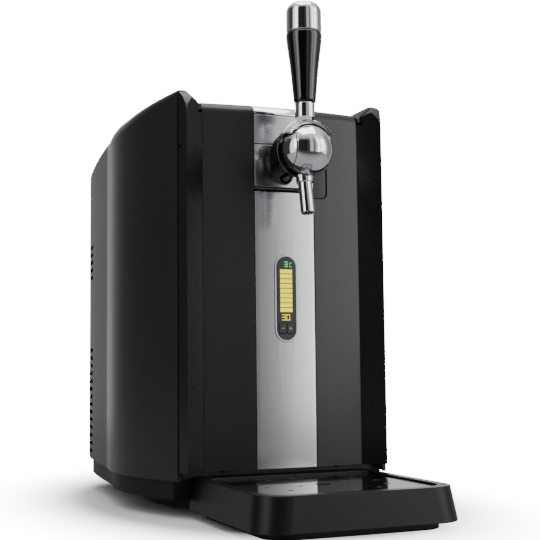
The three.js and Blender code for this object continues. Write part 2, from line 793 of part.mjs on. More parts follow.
function makeBands() {
  const front = prism(bandSection(), doorBottomZ, far).intersect(outerBody);
  const inner = doorHalf + gap;
  const lipFront = bandRearY - overrun;
  const lip = block(inner, inner + bandLip, lipFront, skinBackY, doorBottomZ, doorTopZ - doorTopRadius);
  const ahead = prism(bandAhead(), doorBottomZ - overrun, far);
  const right = joined(front, cut(lip, ahead));
  piece('right_band', right, panelLook);
  const pins = hinges.map((hinge) => pinRod(hinge, hingePinDiameter + gap * 2, gap));
  piece('left_band', cut(mirrored(right), ...hinges.map(lugSweep), ...pins), panelLook);
}

// Hinge: lugs of the chamber's frame, with a standing pin through each

// The lower lug lies under the door, and the upper one in a slot of the band.
const lowerHingeZ = doorBottomZ - hingeClearance - hingeLugHeight / 2;
const hinges = [
  { place: 'lower', z: lowerHingeZ, pinLow: lowerHingeZ, pinHigh: lowerHingeZ + hingePinLength },
  { place: 'upper', z: upperHingeZ, pinLow: upperHingeZ - hingePinLength / 2, pinHigh: upperHingeZ + hingePinLength / 2 },
];
const pinRod = ({ pinLow, pinHigh }, diameter, more) => rodZ(diameter, hingeX, hingeY, pinLow - more, pinHigh + more);

// The room that a lug needs in the door while the door turns about it.
function lugSweep({ z }) {
  const half = hingeLugWidth / 2 + hingeClearance;
  const low = z - hingeLugHeight / 2 - hingeClearance;
  const high = z + hingeLugHeight / 2 + hingeClearance;
  const along = new THREE.Vector2(-Math.sin(doorSwing), Math.cos(doorSwing));
  const beside = new THREE.Vector2(-along.y, along.x).multiplyScalar(half);
  const room = outlineOf([
    [hingeX + half, hingeY],
    [hingeX + half, hingeY + far],
    [hingeX - far, hingeY + far],
    [hingeX + along.x * far + beside.x, hingeY + along.y * far + beside.y],
    [hingeX + beside.x, hingeY + beside.y],
  ]);
  return joined(rodZ(half * 2, hingeX, hingeY, low, high, roundSteps), prism(room, low, high));
}

function makeHinge() {
  const half = hingeLugWidth / 2;
  const back = chamberFrontY - gap;
  const ahead = shellFrontY - gap;
  for (const hinge of hinges) {
    const low = hinge.z - hingeLugHeight / 2;
    const high = hinge.z + hingeLugHeight / 2;
    const arm = block(hingeX - half, hingeX + half, hingeY, ahead, low, high);
    const tail = block(hingeX - half, hingeX + half, ahead - overrun, back, low, high);
    const footLow = hinge.z - hingePinLength;
    const foot = block(hingeX - half, hingeX + half, back - sheetWall, back, footLow, hinge.z + hingePinLength);
    const lug = joined(rodZ(hingeLugWidth, hingeX, hingeY, low, high), arm, joined(tail, foot).intersect(insideShell));
    piece(`${hinge.place}_hinge_lug`, joined(lug, pinRod(hinge, hingePinDiameter, 0)), steelLook);
  }
}

// Inner pan of the door, its insulation and its seal

const panHalf = doorHalf + gap + bandLip;
const panLowZ = doorBottomZ + panelWall;
const panHighZ = doorTopZ - doorTopRadius;
const panBackY = panFrontY + panDepth;
const plugHalf = plugWidth / 2;
const plugLowZ = panLowZ + plugRise;
const plugHighZ = chamberRoofZ - plugRise;

function makeDoorInside() {
  const flange = block(-panHalf, panHalf, panFrontY, panBackY, panLowZ, panHighZ);
  const plugBack = panBackY + plugDepth;
  const plug = block(-plugHalf, plugHalf, panBackY - overrun, plugBack, plugLowZ, plugHighZ);
  const wall = sheetWall;
  const hollow = block(-plugHalf + wall, plugHalf - wall, -far, plugBack - wall, plugLowZ + wall, plugHighZ - wall);
  const lugSpaces = hinges.map(lugSweep);
  piece('door_inner_pan', cut(joined(flange, plug), hollow, guideHole(), ...lugSpaces), linerLook);
  const foam = block(
    -plugHalf + wall + gap,
    plugHalf - wall - gap,
    panFrontY,
    plugBack - wall - gap,
    plugLowZ + wall + gap,
    plugHighZ - wall - gap,
  );
  piece('door_insulation', cut(foam, guideHole()), foamLook);
  makeGasket();
  const strikeX = magnetX + gap;
  const strike = block(strikeX, panHalf - gap, panBackY + gap, chamberFrontY - 2 * gap, magnetLow, magnetHigh);
  piece('catch_strike', strike, steelLook);
}

function makeGasket() {
  const inner = plugHalf + gap;
  const outer = inner + gasketWidth;
  const low = plugLowZ - gap;
  const high = plugHighZ + gap;
  const y0 = panBackY + gap;
  const y1 = y0 + gasketThickness;
  const ring = block(-outer, outer, y0, y1, low - gasketWidth, high + gasketWidth);
  piece('door_gasket', cut(ring, block(-inner, inner, y0 - overrun, y1 + overrun, low, high)), rubberLook);
}

// Line guide: the sleeve that takes the beer line through the door to the tap

const guideHole = () => rodY(guideDiameter + 2 * gap, 0, tapZ, -far, far, roundSteps);

function makeLineGuide() {
  const back = panBackY + plugDepth + guideDiameter / 4;
  const sleeve = rodY(guideDiameter, 0, tapZ, doorFrontAt(0), back, roundSteps);
  piece('line_guide', cut(sleeve, rodY(guideBore, 0, tapZ, -far, far)), rubberLook);
}

// Display: rim, window, two keys, module and board

function capsule(width, low, high, spread) {
  return roundRectangle(-width / 2 - spread, width / 2 + spread, low - spread, high + spread, width / 2 + spread, 7);
}

const displayFrontY = -doorBulge - displayProud;
const displayOpening = (spread) =>
  facePrism(capsule(displayWidth, displayBottomZ, displayTopZ, spread), -far, skinBackY + far);

function makeDisplay() {
  const low = displayBottomZ;
  const high = displayTopZ;
  const back = displayFrontY + displayThickness;
  const rimOuter = facePrism(capsule(displayWidth, low, high, -gap), displayFrontY, back);
  const rimInner = facePrism(capsule(displayWidth, low, high, -gap - displayRim), -far, far);
  piece('display_rim', cut(rimOuter, rimInner), chromeLook);
  const windowBody = facePrism(capsule(displayWidth, low, high, -2 * gap - displayRim), displayFrontY, back);
  const spaces = keyPlaces.map(({ x }) => keySolid(x, gap, -far, far));
  piece('display_window', cut(windowBody, ...spaces), glossLook);
  const moduleFront = back + gap;
  const half = displayWidth / 2;
  const housing = block(-half + gap, half - gap, moduleFront, panFrontY - gap, low + half, high - half);
  const keySpace = block(-half, half, -far, moduleFront + keyTravel + overrun, low, keyTop + overrun);
  piece('display_module', cut(housing, keySpace), plinthLook);
  const keyFront = displayFrontY - keyTravel / 2;
  for (const { name, x } of keyPlaces) piece(name, keySolid(x, 0, keyFront, keyFront + keyThickness), glossLook);
}

const keyBottom = displayBottomZ + displayWidth * 0.35;
const keyTop = keyBottom + keyHeight;
const keyPlaces = [
  { name: 'minus_key', x: -keyWidth / 2 - gap },
  { name: 'plus_key', x: keyWidth / 2 + gap },
];

function keySolid(x, spread, y0, y1) {
  const half = keyWidth / 2 + spread;
  const radius = keyWidth / 5;
  return facePrism(roundRectangle(x - half, x + half, keyBottom - spread, keyTop + spread, radius, 3), y0, y1);
}

// Ball tap: fixed horn and core, side caps and saddle that turn with the handle, and a visor over the front

const ballRadius = ballDiameter / 2;
const sideCapX = ballRadius * sideCapShare;
const coverInner = ballRadius - coverWall;
const coreRadius = coverInner - gap;
const saddleInner = ballRadius + saddleClearance;
const saddleOuter = saddleInner + saddleWall;
const sphere = (radius) => ball(radius * 2, 0, tapY, tapZ, roundSteps + 4);

// A wedge round the ball's cross axis; angles start at the front and rise over the top.
function tapWedge(from, to, x0, x1) {
  const steps = 8;
  const reach = ballRadius * 3;
  const points = [[tapY, tapZ]];
  for (let i = 0; i <= steps; i++) {
    const angle = from + ((to - from) * i) / steps;
    points.push([tapY - reach * Math.cos(angle), tapZ + reach * Math.sin(angle)]);
  }
  return crossPrism(outlineOf(points), x0, x1);
}

const coverLow = -1.3; // angles of the visor's edges, in radians
const coverHigh = 1.15;
const coverSweep = 1.4; // how far it turns up

function makeTapFixed() {
  const slab = block(-sideCapX + gap, sideCapX - gap, -far, far, 0, far);
  const small = sphere(coreRadius);
  const full = sphere(ballRadius - gap);
  const swept = tapWedge(coverLow - gap / ballRadius, coverHigh + coverSweep + gap / ballRadius, -far, far);
  const core = joined(small, cut(full, swept)).intersect(slab);
  const way = joined(rodY(guideBore, 0, tapZ, tapY, far), leaningRod(spoutBore, 0, spoutLength));
  const pinHalf = sideCapX + pivotDiameter;
  const pin = rodX(pivotDiameter, tapY, tapZ, -pinHalf, pinHalf);
  piece('tap_core', cut(joined(core, pin), way, spoutSpace()), glossLook);
  const saddleRoom = sphere(saddleOuter + gap).intersect(block(-far, far, -far, far, tapZ + ballRadius * 0.4, far));
  const hornSolid = cut(joined(hornLoft(), cup()), sphere(ballRadius + gap), saddleRoom, spoutSpace());
  piece('tap_horn', cut(hornSolid, rodY(guideBore, 0, tapZ, -far, far)), glossLook);
}

const pivotDiameter = 5;

// The spout's axis starts behind the ball's middle and leans forward on its way down.
function leaningRod(diameter, more, length) {
  const start = ballRadius * 0.62;
  const total = length + more;
  const rod = new THREE.CylinderGeometry(diameter / 2, diameter / 2, total, roundSteps);
  rod.rotateX(Math.PI / 2).translate(0, 0, -start - total / 2 + more);
  return solid(rod.rotateX(-spoutLean).translate(0, tapY + spoutBackset, tapZ));
}

const spoutSpace = () => leaningRod(collarDiameter + 2 * gap, gap, spoutLength);

function makeSpout() {
  const collar = leaningRod(collarDiameter, 0, ballRadius * 0.38 + collarHeight);
  const tube = joined(collar, leaningRod(spoutDiameter, 0, spoutLength));
  piece('spout', cut(tube, leaningRod(spoutBore, overrun, spoutLength + 2 * overrun)), chromeLook);
}

// Black trumpet between the carrier and the ball, an upright oval at its base.
const hornShares = [
  [0, 0.62, 1],
  [0.14, 0.58, 0.93],
  [0.36, 0.5, 0.76],
  [0.58, 0.66, 0.8],
  [0.8, 0.88, 0.9],
  [0.96, 0.92, 0.9],
];

function hornLoft() {
  const base = doorFrontAt(0) - gap;
  const run = base - tapY;
  const ovals = hornShares.map(([along, wide, tall]) => {
    const points = [];
    for (let i = 0; i < roundSteps; i++) {
      const angle = (2 * Math.PI * i) / roundSteps;
      points.push([ballRadius * wide * Math.cos(angle), base - run * along, ballRadius * tall * Math.sin(angle)]);
    }
    return points;
  });
  const index = [];
  for (let ring = 0; ring < ovals.length - 1; ring++) {
    for (let i = 0; i < roundSteps; i++) {
      const j = (i + 1) % roundSteps;
      const [p, q] = [ring * roundSteps + i, ring * roundSteps + j];
      index.push(p, q, q + roundSteps, p, q + roundSteps, p + roundSteps);
    }
  }
  const last = (ovals.length - 1) * roundSteps;
  for (let i = 1; i < roundSteps - 1; i++) index.push(0, i + 1, i, last, last + i, last + i + 1);
  return meshed(ovals.flat().flatMap(([x, y, z]) => [x, y, tapZ + z]), index);
}

// The cup holds the ball from behind and below.
const cupWall = 2.2;

function cup() {
  const shell = sphere(ballRadius + gap + cupWall);
  const half = block(-far, far, tapY + ballRadius * 0.12, far, 0, tapZ + ballRadius * 0.25);
  const nearCarrier = block(-far, far, -far, doorFrontAt(0) - gap, 0, far);
  return shell.intersect(half).intersect(nearCarrier);
}

function makeCover() {
  const shell = cut(sphere(ballRadius), sphere(coverInner));
  const half = sideCapX - gap;
  piece('tap_visor', shell.intersect(tapWedge(coverLow, coverHigh, -half, half)), chromeLook);
}

function makeLever() {
  const capSolid = cut(
    sphere(ballRadius).intersect(block(sideCapX, far, -far, far, 0, far)),
    rodX(pivotDiameter + 2 * gap, tapY, tapZ, -far, sideCapX + pivotDiameter + gap),
  );
  piece('right_hub_cap', capSolid, chromeLook);
  piece('left_hub_cap', mirrored(capSolid), chromeLook);
  const strap = cut(sphere(saddleOuter), sphere(saddleInner));
  const lugs = cut(
    cut(sphere(saddleInner + gap), sphere(ballRadius + gap)),
    block(-sideCapX - gap, sideCapX + gap, -far, far, 0, far),
  );
  const front = tapY + leverBackset / 2 - saddleWidth / 2;
  const region = block(-far, far, front, front + saddleWidth, tapZ + ballRadius * 0.52, far);
  piece('lever_saddle', joined(strap, lugs).intersect(region), chromeLook);
  const neckY = tapY + leverBackset;
  const neck = rodZ(neckDiameter, 0, neckY, tapZ + coreRadius, gripBottomZ - gap, roundSteps);
  piece('lever_neck', cut(neck, sphere(saddleOuter + gap)), chromeLook);
  piece('lever_grip', turned(gripProfile(), 0, neckY), glossLook);
  piece('lever_cap', turned(capProfile(), 0, neckY), chromeLook);
}

const gripShares = [
  [0, 0.3],
  [0.06, 0.325],
  [0.3, 0.36],
  [0.6, 0.42],
  [0.86, 0.49],
  [0.97, 0.5],
  [1, 0.47],
];

function gripProfile() {
  const height = gripTopZ - gripBottomZ;
  const side = gripShares.map(([up, out]) => [gripDiameter * out, gripBottomZ + height * up]);
  return [[0, gripBottomZ], ...side, [0, gripTopZ]];
}

const capShares = [
  [0, 0.47],
  [0.05, 0.5],
  [0.66, 0.5],
  [0.84, 0.475],
  [0.94, 0.4],
  [0.985, 0.28],
];

function capProfile() {
  const bottom = gripTopZ + gap;
  const height = handleTopZ - bottom;
  const side = capShares.map(([up, out]) => [capDiameter * out, bottom + height * up]);
  return [[0, bottom], ...side, [0, handleTopZ]];
}

// Drip tray: a tapered tub with a rim, and the lift-out grid in it

function trayOutline(spread, rearInset = 0) {
  const rear = trayRearWidth / 2 + spread;
  const front = trayFrontWidth / 2 + spread;
  const quarter = Math.PI / 2;
  const frontY = trayFrontY - spread;
  const rearY = trayRearY - (rearInset || Math.max(-spread, 0));
  const corners = trayCorner + Math.min(spread, 0) / 2;
  return outlineOf([
    ...corner(corners - front, frontY + corners, corners, 2 * quarter, 3 * quarter, 7),
    ...corner(front - corners, frontY + corners, corners, 3 * quarter, 4 * quarter, 7),
    ...corner(rear - trayRearCorner, rearY - trayRearCorner, trayRearCorner, 0, quarter, 3),
    ...corner(trayRearCorner - rear, rearY - trayRearCorner, trayRearCorner, quarter, 2 * quarter, 3),
  ]);
}

const gridTopZ = trayTopZ - gridRecess;
const gridBottomZ = gridTopZ - gridThickness;

function makeTray() {
  const outer = loft([levelRing(trayOutline(trayFlare), trayBottomZ), levelRing(trayOutline(0), trayTopZ)]);
  const foot = prism(trayOutline(-trayFootInset), gap, trayBottomZ + trayFloor);
  const basinFloor = trayBottomZ + trayFloor;
  const ledge = prism(trayOutline(-trayRim - trayWall, trayRearRim + trayWall), basinFloor, trayTopZ + overrun);
  const seat = prism(trayOutline(-trayRim + gap, trayRearRim - gap), gridBottomZ - gap, trayTopZ + overrun);
  const under = prism(trayOutline(-trayFootInset - trayWall), -overrun, trayBottomZ);
  piece('drip_tray', cut(joined(outer, foot), ledge, seat, under), shellLook);
  const plate = prism(trayOutline(-trayRim, trayRearRim), gridBottomZ, gridTopZ);
  piece('drip_grid', cut(plate, ...gridHoles()), glossLook);
}

// Rings of drain holes round the middle one.
const gridRingShares = [
  [6, 0.3],
  [12, 0.62],
];

function gridHoles() {
  const middle = (trayFrontY + trayRearY - trayRearRim) / 2;
  const hole = (diameter, x, y) => rodZ(diameter, x, y, gridBottomZ - overrun, gridTopZ + overrun, 12);
  const holes = [hole(gridCentreHoleDiameter, 0, middle)];
  for (const [count, share] of gridRingShares) {
    for (let i = 0; i < count; i++) {
      const angle = (2 * Math.PI * i) / count + share;
      const reach = (trayFrontWidth / 2) * share;
      holes.push(hole(gridHoleDiameter, reach * Math.cos(angle), middle + reach * Math.sin(angle)));
    }
  }
  return holes;
}

// Cooling unit behind the chamber: cold plate, module, finned sink and fan

const coldFrontY = chamberBackY + sheetWall + gap;

function makeCooler() {
  const half = coldPlateWidth / 2;
  const low = coolerZ - coldPlateHeight / 2;
  const coldBack = coldFrontY + coldPlateThickness;
  piece('cold_plate', block(-half, half, coldFrontY, coldBack, low, low + coldPlateHeight), aluminiumLook);
  const moduleY = coldBack + gap;
  const moduleHalf = moduleSide / 2;
  const moduleBack = moduleY + moduleThickness;
  const low2 = coolerZ - moduleHalf;
  piece('thermoelectric_module', block(-moduleHalf, moduleHalf, moduleY, moduleBack, low2, low2 + moduleSide), ceramicLook);
  makeSink(moduleBack + gap);
}

function makeSink(y) {
  const half = sinkWidth / 2;
  const low = coolerZ - sinkHeight / 2;
  const high = low + sinkHeight;
  const base = block(-half, half, y, y + sinkBase, low, high);
  const fins = [];
  const count = Math.floor((sinkWidth / 2 - finThickness) / finPitch);
  for (let i = -count; i <= count; i++) {
    const x = i * finPitch;
    const x0 = x - finThickness / 2;
    fins.push(block(x0, x0 + finThickness, y + sinkBase - overrun, y + sinkBase + sinkFin, low, high));
  }
  piece('heat_sink', joined(base, ...fins), aluminiumLook);
  makeFan(y + sinkBase + sinkFin + gap);
}

function makeFan(y) {
  const half = fanSide / 2;
  const back = y + fanDepth;
  const corners = roundRectangle(-half, half, coolerZ - half, coolerZ + half, fanWall, 3);
  const bore = rodY(fanBore, 0, coolerZ, y - overrun, back + overrun, roundSteps);
  const hubSeat = rodY(fanHubDiameter, 0, coolerZ, back - fanWall / 2, back, roundSteps);
  const arms = [0, 1].map((i) => {
    const long = fanSide / 2;
    const thin = fanWall / 2;
    const [x, z] = i === 0 ? [long - fanWall / 2, thin] : [thin, long - fanWall / 2];
    return block(-x, x, back - fanWall / 2, back, coolerZ - z, coolerZ + z);
  });
  piece('fan_frame', joined(cut(facePrism(corners, y, back), bore), hubSeat, ...arms), plinthLook);
  const rotorFront = y + fanWall / 2;
  const rotorBack = back - fanWall / 2 - gap;
  const hub = rodY(fanHubDiameter, 0, coolerZ, rotorFront, rotorBack, roundSteps);
  piece('fan_rotor', joined(hub, ...fanBladeSolids(rotorFront, rotorBack)), plinthLook);
}

function fanBladeSolids(y0, y1) {
  const blades = [];
  const root = fanHubDiameter / 2 - overrun;
  const tip = fanBore / 2 - 2 * fanWall / 3;
  const pitch = 0.6;
  for (let i = 0; i < fanBlades; i++) {
    const blade = new THREE.BoxGeometry(tip - root, (y1 - y0) * 0.85, thinWall);
    blade.rotateX(pitch).translate((tip + root) / 2, 0, 0);
    blade.rotateY((2 * Math.PI * i) / fanBlades);
    blades.push(solid(blade.translate(0, (y0 + y1) / 2, coolerZ)));
  }
  return blades;
}

// Power supply, control board, air pump and its hose

const supplyFrontY = jacketBackY + supplyGap;
const supplyTopZ = plinthTopZ + gap + supplyHeight;

function makeElectrics() {
  const half = supplyWidth / 2;
  const low = plinthTopZ + gap;
  piece('power_supply', block(-half, half, supplyFrontY, supplyFrontY + supplyDepth, low, supplyTopZ), aluminiumLook);
  const boardY = supplyFrontY + supplyDepth / 2;
  const boardHalf = boardWidth / 2;
  const boardLow = supplyTopZ + gap;
  const plate = block(-boardHalf, boardHalf, boardY, boardY + boardThickness, boardLow, boardLow + boardHeight);
  piece('control_board', plate, boardLook);
}

const pumpX = -supplyWidth / 2 - gap - pumpDiameter / 2 - thinWall;
const pumpZ = plinthTopZ + gap + cradleWall + pumpDiameter / 2;
const pumpFrontY = supplyFrontY;
const pumpBackY = pumpFrontY + pumpLength;

function makePump() {
  const motor = rodY(pumpDiameter, pumpX, pumpZ, pumpFrontY, pumpBackY - pumpHeadLength + overrun, roundSteps);
  const headHalf = pumpDiameter / 2.4;
  const head = block(
    pumpX - headHalf,
    pumpX + headHalf,
    pumpBackY - pumpHeadLength,
    pumpBackY,
    pumpZ - headHalf,
    pumpZ + headHalf,
  );
  const reach = pumpDiameter / 2;
  const cradle = block(
    pumpX - reach,
    pumpX + reach,
    pumpFrontY + pumpHeadLength / 2,
    pumpBackY - pumpHeadLength * 1.5,
    plinthTopZ + gap,
    pumpZ - reach / 2,
  );
  piece('air_pump', joined(motor, head, cradle), steelLook);
}

// The hose's route, from the pump's head up to the nozzle.
function makeHose() {
  const startY = pumpBackY + gap;
  const endY = jacketBackY + nozzleLength / 2 + gap;
  const rise = nozzleZ - pumpZ;
  const across = nozzleX - pumpX;
  const depth = pumpBackY - endY;
  const route = [
    [pumpX, startY, pumpZ],
    [pumpX, startY + hoseDiameter, pumpZ],
    [pumpX + across * 0.06, startY + hoseDiameter * 2.4, pumpZ + rise * 0.14],
    [pumpX + across * 0.2, startY + hoseDiameter * 2.6, pumpZ + rise * 0.45],
    [pumpX + across * 0.45, startY, pumpZ + rise * 0.8],
    [pumpX + across * 0.8, endY + depth * 0.5, pumpZ + rise * 0.97],
    [nozzleX, endY + hoseDiameter * 1.5, nozzleZ],
    [nozzleX, endY, nozzleZ],
  ];
  const path = new THREE.CatmullRomCurve3(route.map(([x, y, z]) => new THREE.Vector3(x, y, z)), false, 'centripetal');
  const section = new THREE.Shape();
  section.absarc(0, 0, hoseDiameter / 2, 0, Math.PI * 2);
  const hose = new THREE.ExtrudeGeometry(section, { steps: 36, curveSegments: 8, extrudePath: path });
  piece('pressure_hose', solid(hose), rubberLook);
}

// Power inlet, rocker switch and screws in the back wall

const inletX = -bodyWidth / 6;
const inletZ = shellBottomZ + inletHeight * 1.6;
const rockerFrame = 2;
const rockerX = inletX + (inletWidth + rockerWidth) / 2 + rockerFrame - overrun;
const inletFaceY = backAt(inletX) + overrun;

function inletBlock(spread, y0, y1) {
  const wide = inletWidth / 2 + spread;
  const tall = inletHeight / 2 + spread;
  return block(inletX - wide, inletX + wide, y0, y1, inletZ - tall, inletZ + tall);
}

function rockerBlock(spread, y0, y1) {
  const wide = rockerWidth / 2 + spread;
  const tall = rockerHeight / 2 + spread;
  return block(rockerX - wide, rockerX + wide, y0, y1, inletZ - tall, inletZ + tall);
}

const rearCutouts = () => [
  inletBlock(gap, bodyBackY / 2, far),
  rockerBlock(rockerFrame + gap, bodyBackY / 2, far),
];

function makeRearFittings() {
  const wall = thinWall + gap;
  const socket = inletBlock(-wall, inletFaceY - inletDepth * 0.7, far);
  const frameOuter = rockerBlock(rockerFrame, inletFaceY - rockerDepth, inletFaceY);
  const inlet = joined(cut(inletBlock(0, inletFaceY - inletDepth, inletFaceY), socket), frameOuter);
  piece('power_inlet', cut(inlet, rockerBlock(gap * 2, 0, far)), plinthLook);
  const rocker = rockerBlock(0, inletFaceY - rockerDepth * 0.75, inletFaceY + overrun / 2);
  const round = rodX(rockerHeight, inletFaceY - rockerDepth * 0.3, inletZ, -far, far, roundSteps);
  piece('power_rocker', rocker.intersect(round), panelLook);
}

makeShells();
makePlinth();
makeChamber();
makeFrontFrame();
makeNozzleAndSensor();
makeDoorFront();
makeBands();
makeHinge();
makeDoorInside();
makeLineGuide();
makeDisplay();
makeTapFixed();
makeSpout();
makeCover();
makeLever();
makeTray();
makeCooler();
makeElectrics();
makePump();
makeHose();
makeRearFittings();

// The whole part's origin: under the middle of its bounding box
part.updateMatrixWorld(true);
const extent = new THREE.Box3().setFromObject(part);
const middle = extent.getCenter(new THREE.Vector3());
part.position.set(-middle.x, -middle.y, -extent.min.z);

export default part;
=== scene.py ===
"""A mini keg beer dispenser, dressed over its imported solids: finer pieces, surfaces, light and camera."""

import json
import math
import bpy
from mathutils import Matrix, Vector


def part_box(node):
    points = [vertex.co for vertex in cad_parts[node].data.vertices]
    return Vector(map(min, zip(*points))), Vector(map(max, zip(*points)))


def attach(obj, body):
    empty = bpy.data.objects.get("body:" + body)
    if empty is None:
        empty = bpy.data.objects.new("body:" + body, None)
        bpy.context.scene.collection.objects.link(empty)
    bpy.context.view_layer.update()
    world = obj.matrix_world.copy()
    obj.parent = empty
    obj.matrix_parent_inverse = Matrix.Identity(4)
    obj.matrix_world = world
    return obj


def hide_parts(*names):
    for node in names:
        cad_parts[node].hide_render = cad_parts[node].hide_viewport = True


bl_info = {
    "name": "Mini Keg Dispenser",
    "version": (1, 0, 0),
    "blender": (4, 5, 0),
    "location": "3D View > Sidebar > Dispenser",
    "description": "Builds the pieces and finishes of a mini keg beer dispenser over its solids",
    "category": "Add Mesh",
}

from functools import partialmethod

import bmesh
import bpy
from bpy.props import BoolProperty, FloatProperty, FloatVectorProperty, IntProperty, PointerProperty
from mathutils import Matrix, Vector
from mathutils.bvhtree import BVHTree

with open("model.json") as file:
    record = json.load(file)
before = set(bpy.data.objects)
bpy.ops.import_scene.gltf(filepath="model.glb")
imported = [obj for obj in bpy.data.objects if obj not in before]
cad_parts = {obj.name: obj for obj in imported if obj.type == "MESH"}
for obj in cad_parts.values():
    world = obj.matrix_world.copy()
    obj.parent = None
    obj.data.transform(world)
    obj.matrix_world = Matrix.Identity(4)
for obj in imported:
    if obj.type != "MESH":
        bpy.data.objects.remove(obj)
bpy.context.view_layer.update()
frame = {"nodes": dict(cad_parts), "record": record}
MM = 0.001

# The tap's middle, where the handle and the visor turn
joints = {joint["name"]: joint for joint in frame["record"]["behaviour"]["joints"]}
tap_centre = Vector(joints["tap_lever"]["pos_m"])

HALF_HEIGHT = 0.2  # tells upper fittings from lower ones by their height
PAPER_LIGHT = 22.0  # strength of the white that only the camera sees


# Sizes and colours that a user would change


def length_setting(name, text, default):
    return FloatProperty(name=name, description=text, default=default * MM, min=0.0, subtype="DISTANCE")


def count_setting(name, text, default, least):
    return IntProperty(name=name, description=text, default=default, min=least)


def colour_setting(name, text, *default):
    return FloatVectorProperty(name=name, description=text, default=default, subtype="COLOR")


class DispenserSizes(bpy.types.PropertyGroup):
    edge: length_setting("Edge radius", "Radius of the moulded edges", 0.5)
    ball: length_setting("Ball radius", "Radius of the tap's ball", 23)
    round_steps: count_setting("Round steps", "Sides of the turned pieces", 96, 12)
    grid_holes: count_setting("Grid holes", "Holes in the outer ring of the drip grid", 12, 3)
    bar_segments: count_setting("Bar segments", "Lit segments of the display's bar", 9, 1)
    lit: BoolProperty(name="Display lit", description="Whether the display shows its reading", default=True)


class DispenserColours(bpy.types.PropertyGroup):
    shell: colour_setting("Shell", "Colour of the side shells", 0.0075, 0.0078, 0.0085)
    panel: colour_setting("Door panels", "Colour of the door's panels", 0.01, 0.0103, 0.0112)
    strip: colour_setting("Silver strip", "Colour of the centre strip", 0.6, 0.605, 0.615)
    gloss: colour_setting("Gloss black", "Colour of the grip and the horn", 0.003, 0.003, 0.0035)
    bar: colour_setting("Display bar", "Colour of the lit bar", 1.0, 0.86, 0.0)


# Shader maths


class Wire:
    """A socket of a node; sums and products of wires add the nodes they need."""

    def __init__(self, owner, socket):
        self.owner = owner
        self.socket = socket

    def combined(self, operation, *others):
        return self.owner.node("ShaderNodeMath", dict(enumerate((self, *others))), operation=operation)[0]

    __add__ = __radd__ = partialmethod(combined, "ADD")
    __sub__ = partialmethod(combined, "SUBTRACT")
    __mul__ = partialmethod(combined, "MULTIPLY")
    __truediv__ = partialmethod(combined, "DIVIDE")
    __pow__ = partialmethod(combined, "POWER")
    __gt__ = partialmethod(combined, "GREATER_THAN")
    __lt__ = partialmethod(combined, "LESS_THAN")
    sine = partialmethod(combined, "SINE")
    absolute = partialmethod(combined, "ABSOLUTE")

    def __rsub__(self, other):
        return self * -1 + other

    def within(self, low, high, low_to=0.0, high_to=1.0):
        """Rises smoothly from low_to to high_to between two values."""
        sockets = {"Value": self, "From Min": low, "From Max": high, "To Min": low_to, "To Max": high_to}
        return self.owner.node("ShaderNodeMapRange", sockets, interpolation_type="SMOOTHSTEP")[0]


class Nodes:
    """The nodes of a material or of the world, joined by wires."""

    def __init__(self, block):
        block.use_nodes = True
        self.tree = block.node_tree

    def feed(self, socket, value):
        """Links a wire to a socket, or sets the socket to a constant."""
        if isinstance(value, Wire):
            self.tree.links.new(value.socket, socket)
        elif hasattr(value, "__len__") and len(value) < len(socket.default_value):
            socket.default_value = (*value, 1.0)
        else:
            socket.default_value = value

    def node(self, kind, sockets=None, outputs=None, **settings):
        """Adds a node and returns the wires that leave it: those named, or all that are in use."""
        made = self.tree.nodes.new(kind)
        for key, value in settings.items():
            setattr(made, key, value)
        for key, value in (sockets or {}).items():
            self.feed(made.inputs[key], value)
        if outputs is None:
            return [Wire(self, socket) for socket in made.outputs if socket.enabled]
        return [Wire(self, made.outputs[key]) for key in outputs]

    def coordinates(self, kind):
        """A place in space, as one wire and as its three parts."""
        spot = self.node("ShaderNodeTexCoord", outputs=(kind,))[0]
        return spot, *self.node("ShaderNodeSeparateXYZ", {0: spot}, ("X", "Y", "Z"))

    def mixed(self, share, first, second):
        return self.node("ShaderNodeMix", {0: share, 6: first, 7: second}, (2,), data_type="RGBA")[0]

    def shows(self, output, share, first, second):
        """Puts a mix of two shaders on the output node's surface."""
        mix = self.node("ShaderNodeMixShader", {0: share, 1: first, 2: second}, ("Shader",))[0]
        self.feed(self.tree.nodes[output].inputs["Surface"], mix)


class Recipe(Nodes):
    """A material in the making, with the object's own coordinates to place its patterns by."""

    def __init__(self, name):
        self.material = bpy.data.materials.new(name)
        super().__init__(self.material)
        self.shader = self.tree.nodes["Principled BSDF"]
        self.place, self.x, self.y, self.z = self.coordinates("Object")

    def stretched(self, x, y, z):
        return self.node("ShaderNodeMapping", {"Vector": self.place, "Scale": (x, y, z)})[0]

    def noise(self, scale, detail=3.0, rough=0.5, at=None):
        sockets = {"Vector": at or self.place, "Scale": scale, "Detail": detail, "Roughness": rough}
        return self.node("ShaderNodeTexNoise", sockets, ("Fac",))[0]

    def cells(self, scale, at=None):
        sockets = {"Vector": at or self.place, "Scale": scale}
        return self.node("ShaderNodeTexVoronoi", sockets, ("Distance",))[0]

    def shades(self, share, colour, low, high):
        """A colour between two shades of one colour."""
        return self.mixed(share, shaded(colour, low), shaded(colour, high))

    def bumps(self, height, strength, distance):
        """A bumped normal; the distance is in millimetres."""
        sockets = {"Height": height, "Strength": strength, "Distance": distance * MM}
        return self.node("ShaderNodeBump", sockets)[0]

    def finish(self, base, roughness, normal=None, **sockets):
        """Feeds the shader, and returns the material."""
        for key, value in {"Base_Color": base, "Roughness": roughness, "Normal": normal, **sockets}.items():
            if value is not None:
                self.feed(self.shader.inputs[key.replace("_", " ")], value)
        return self.material


def shaded(colour, factor):
    return tuple(min(1.0, value * factor) for value in colour)


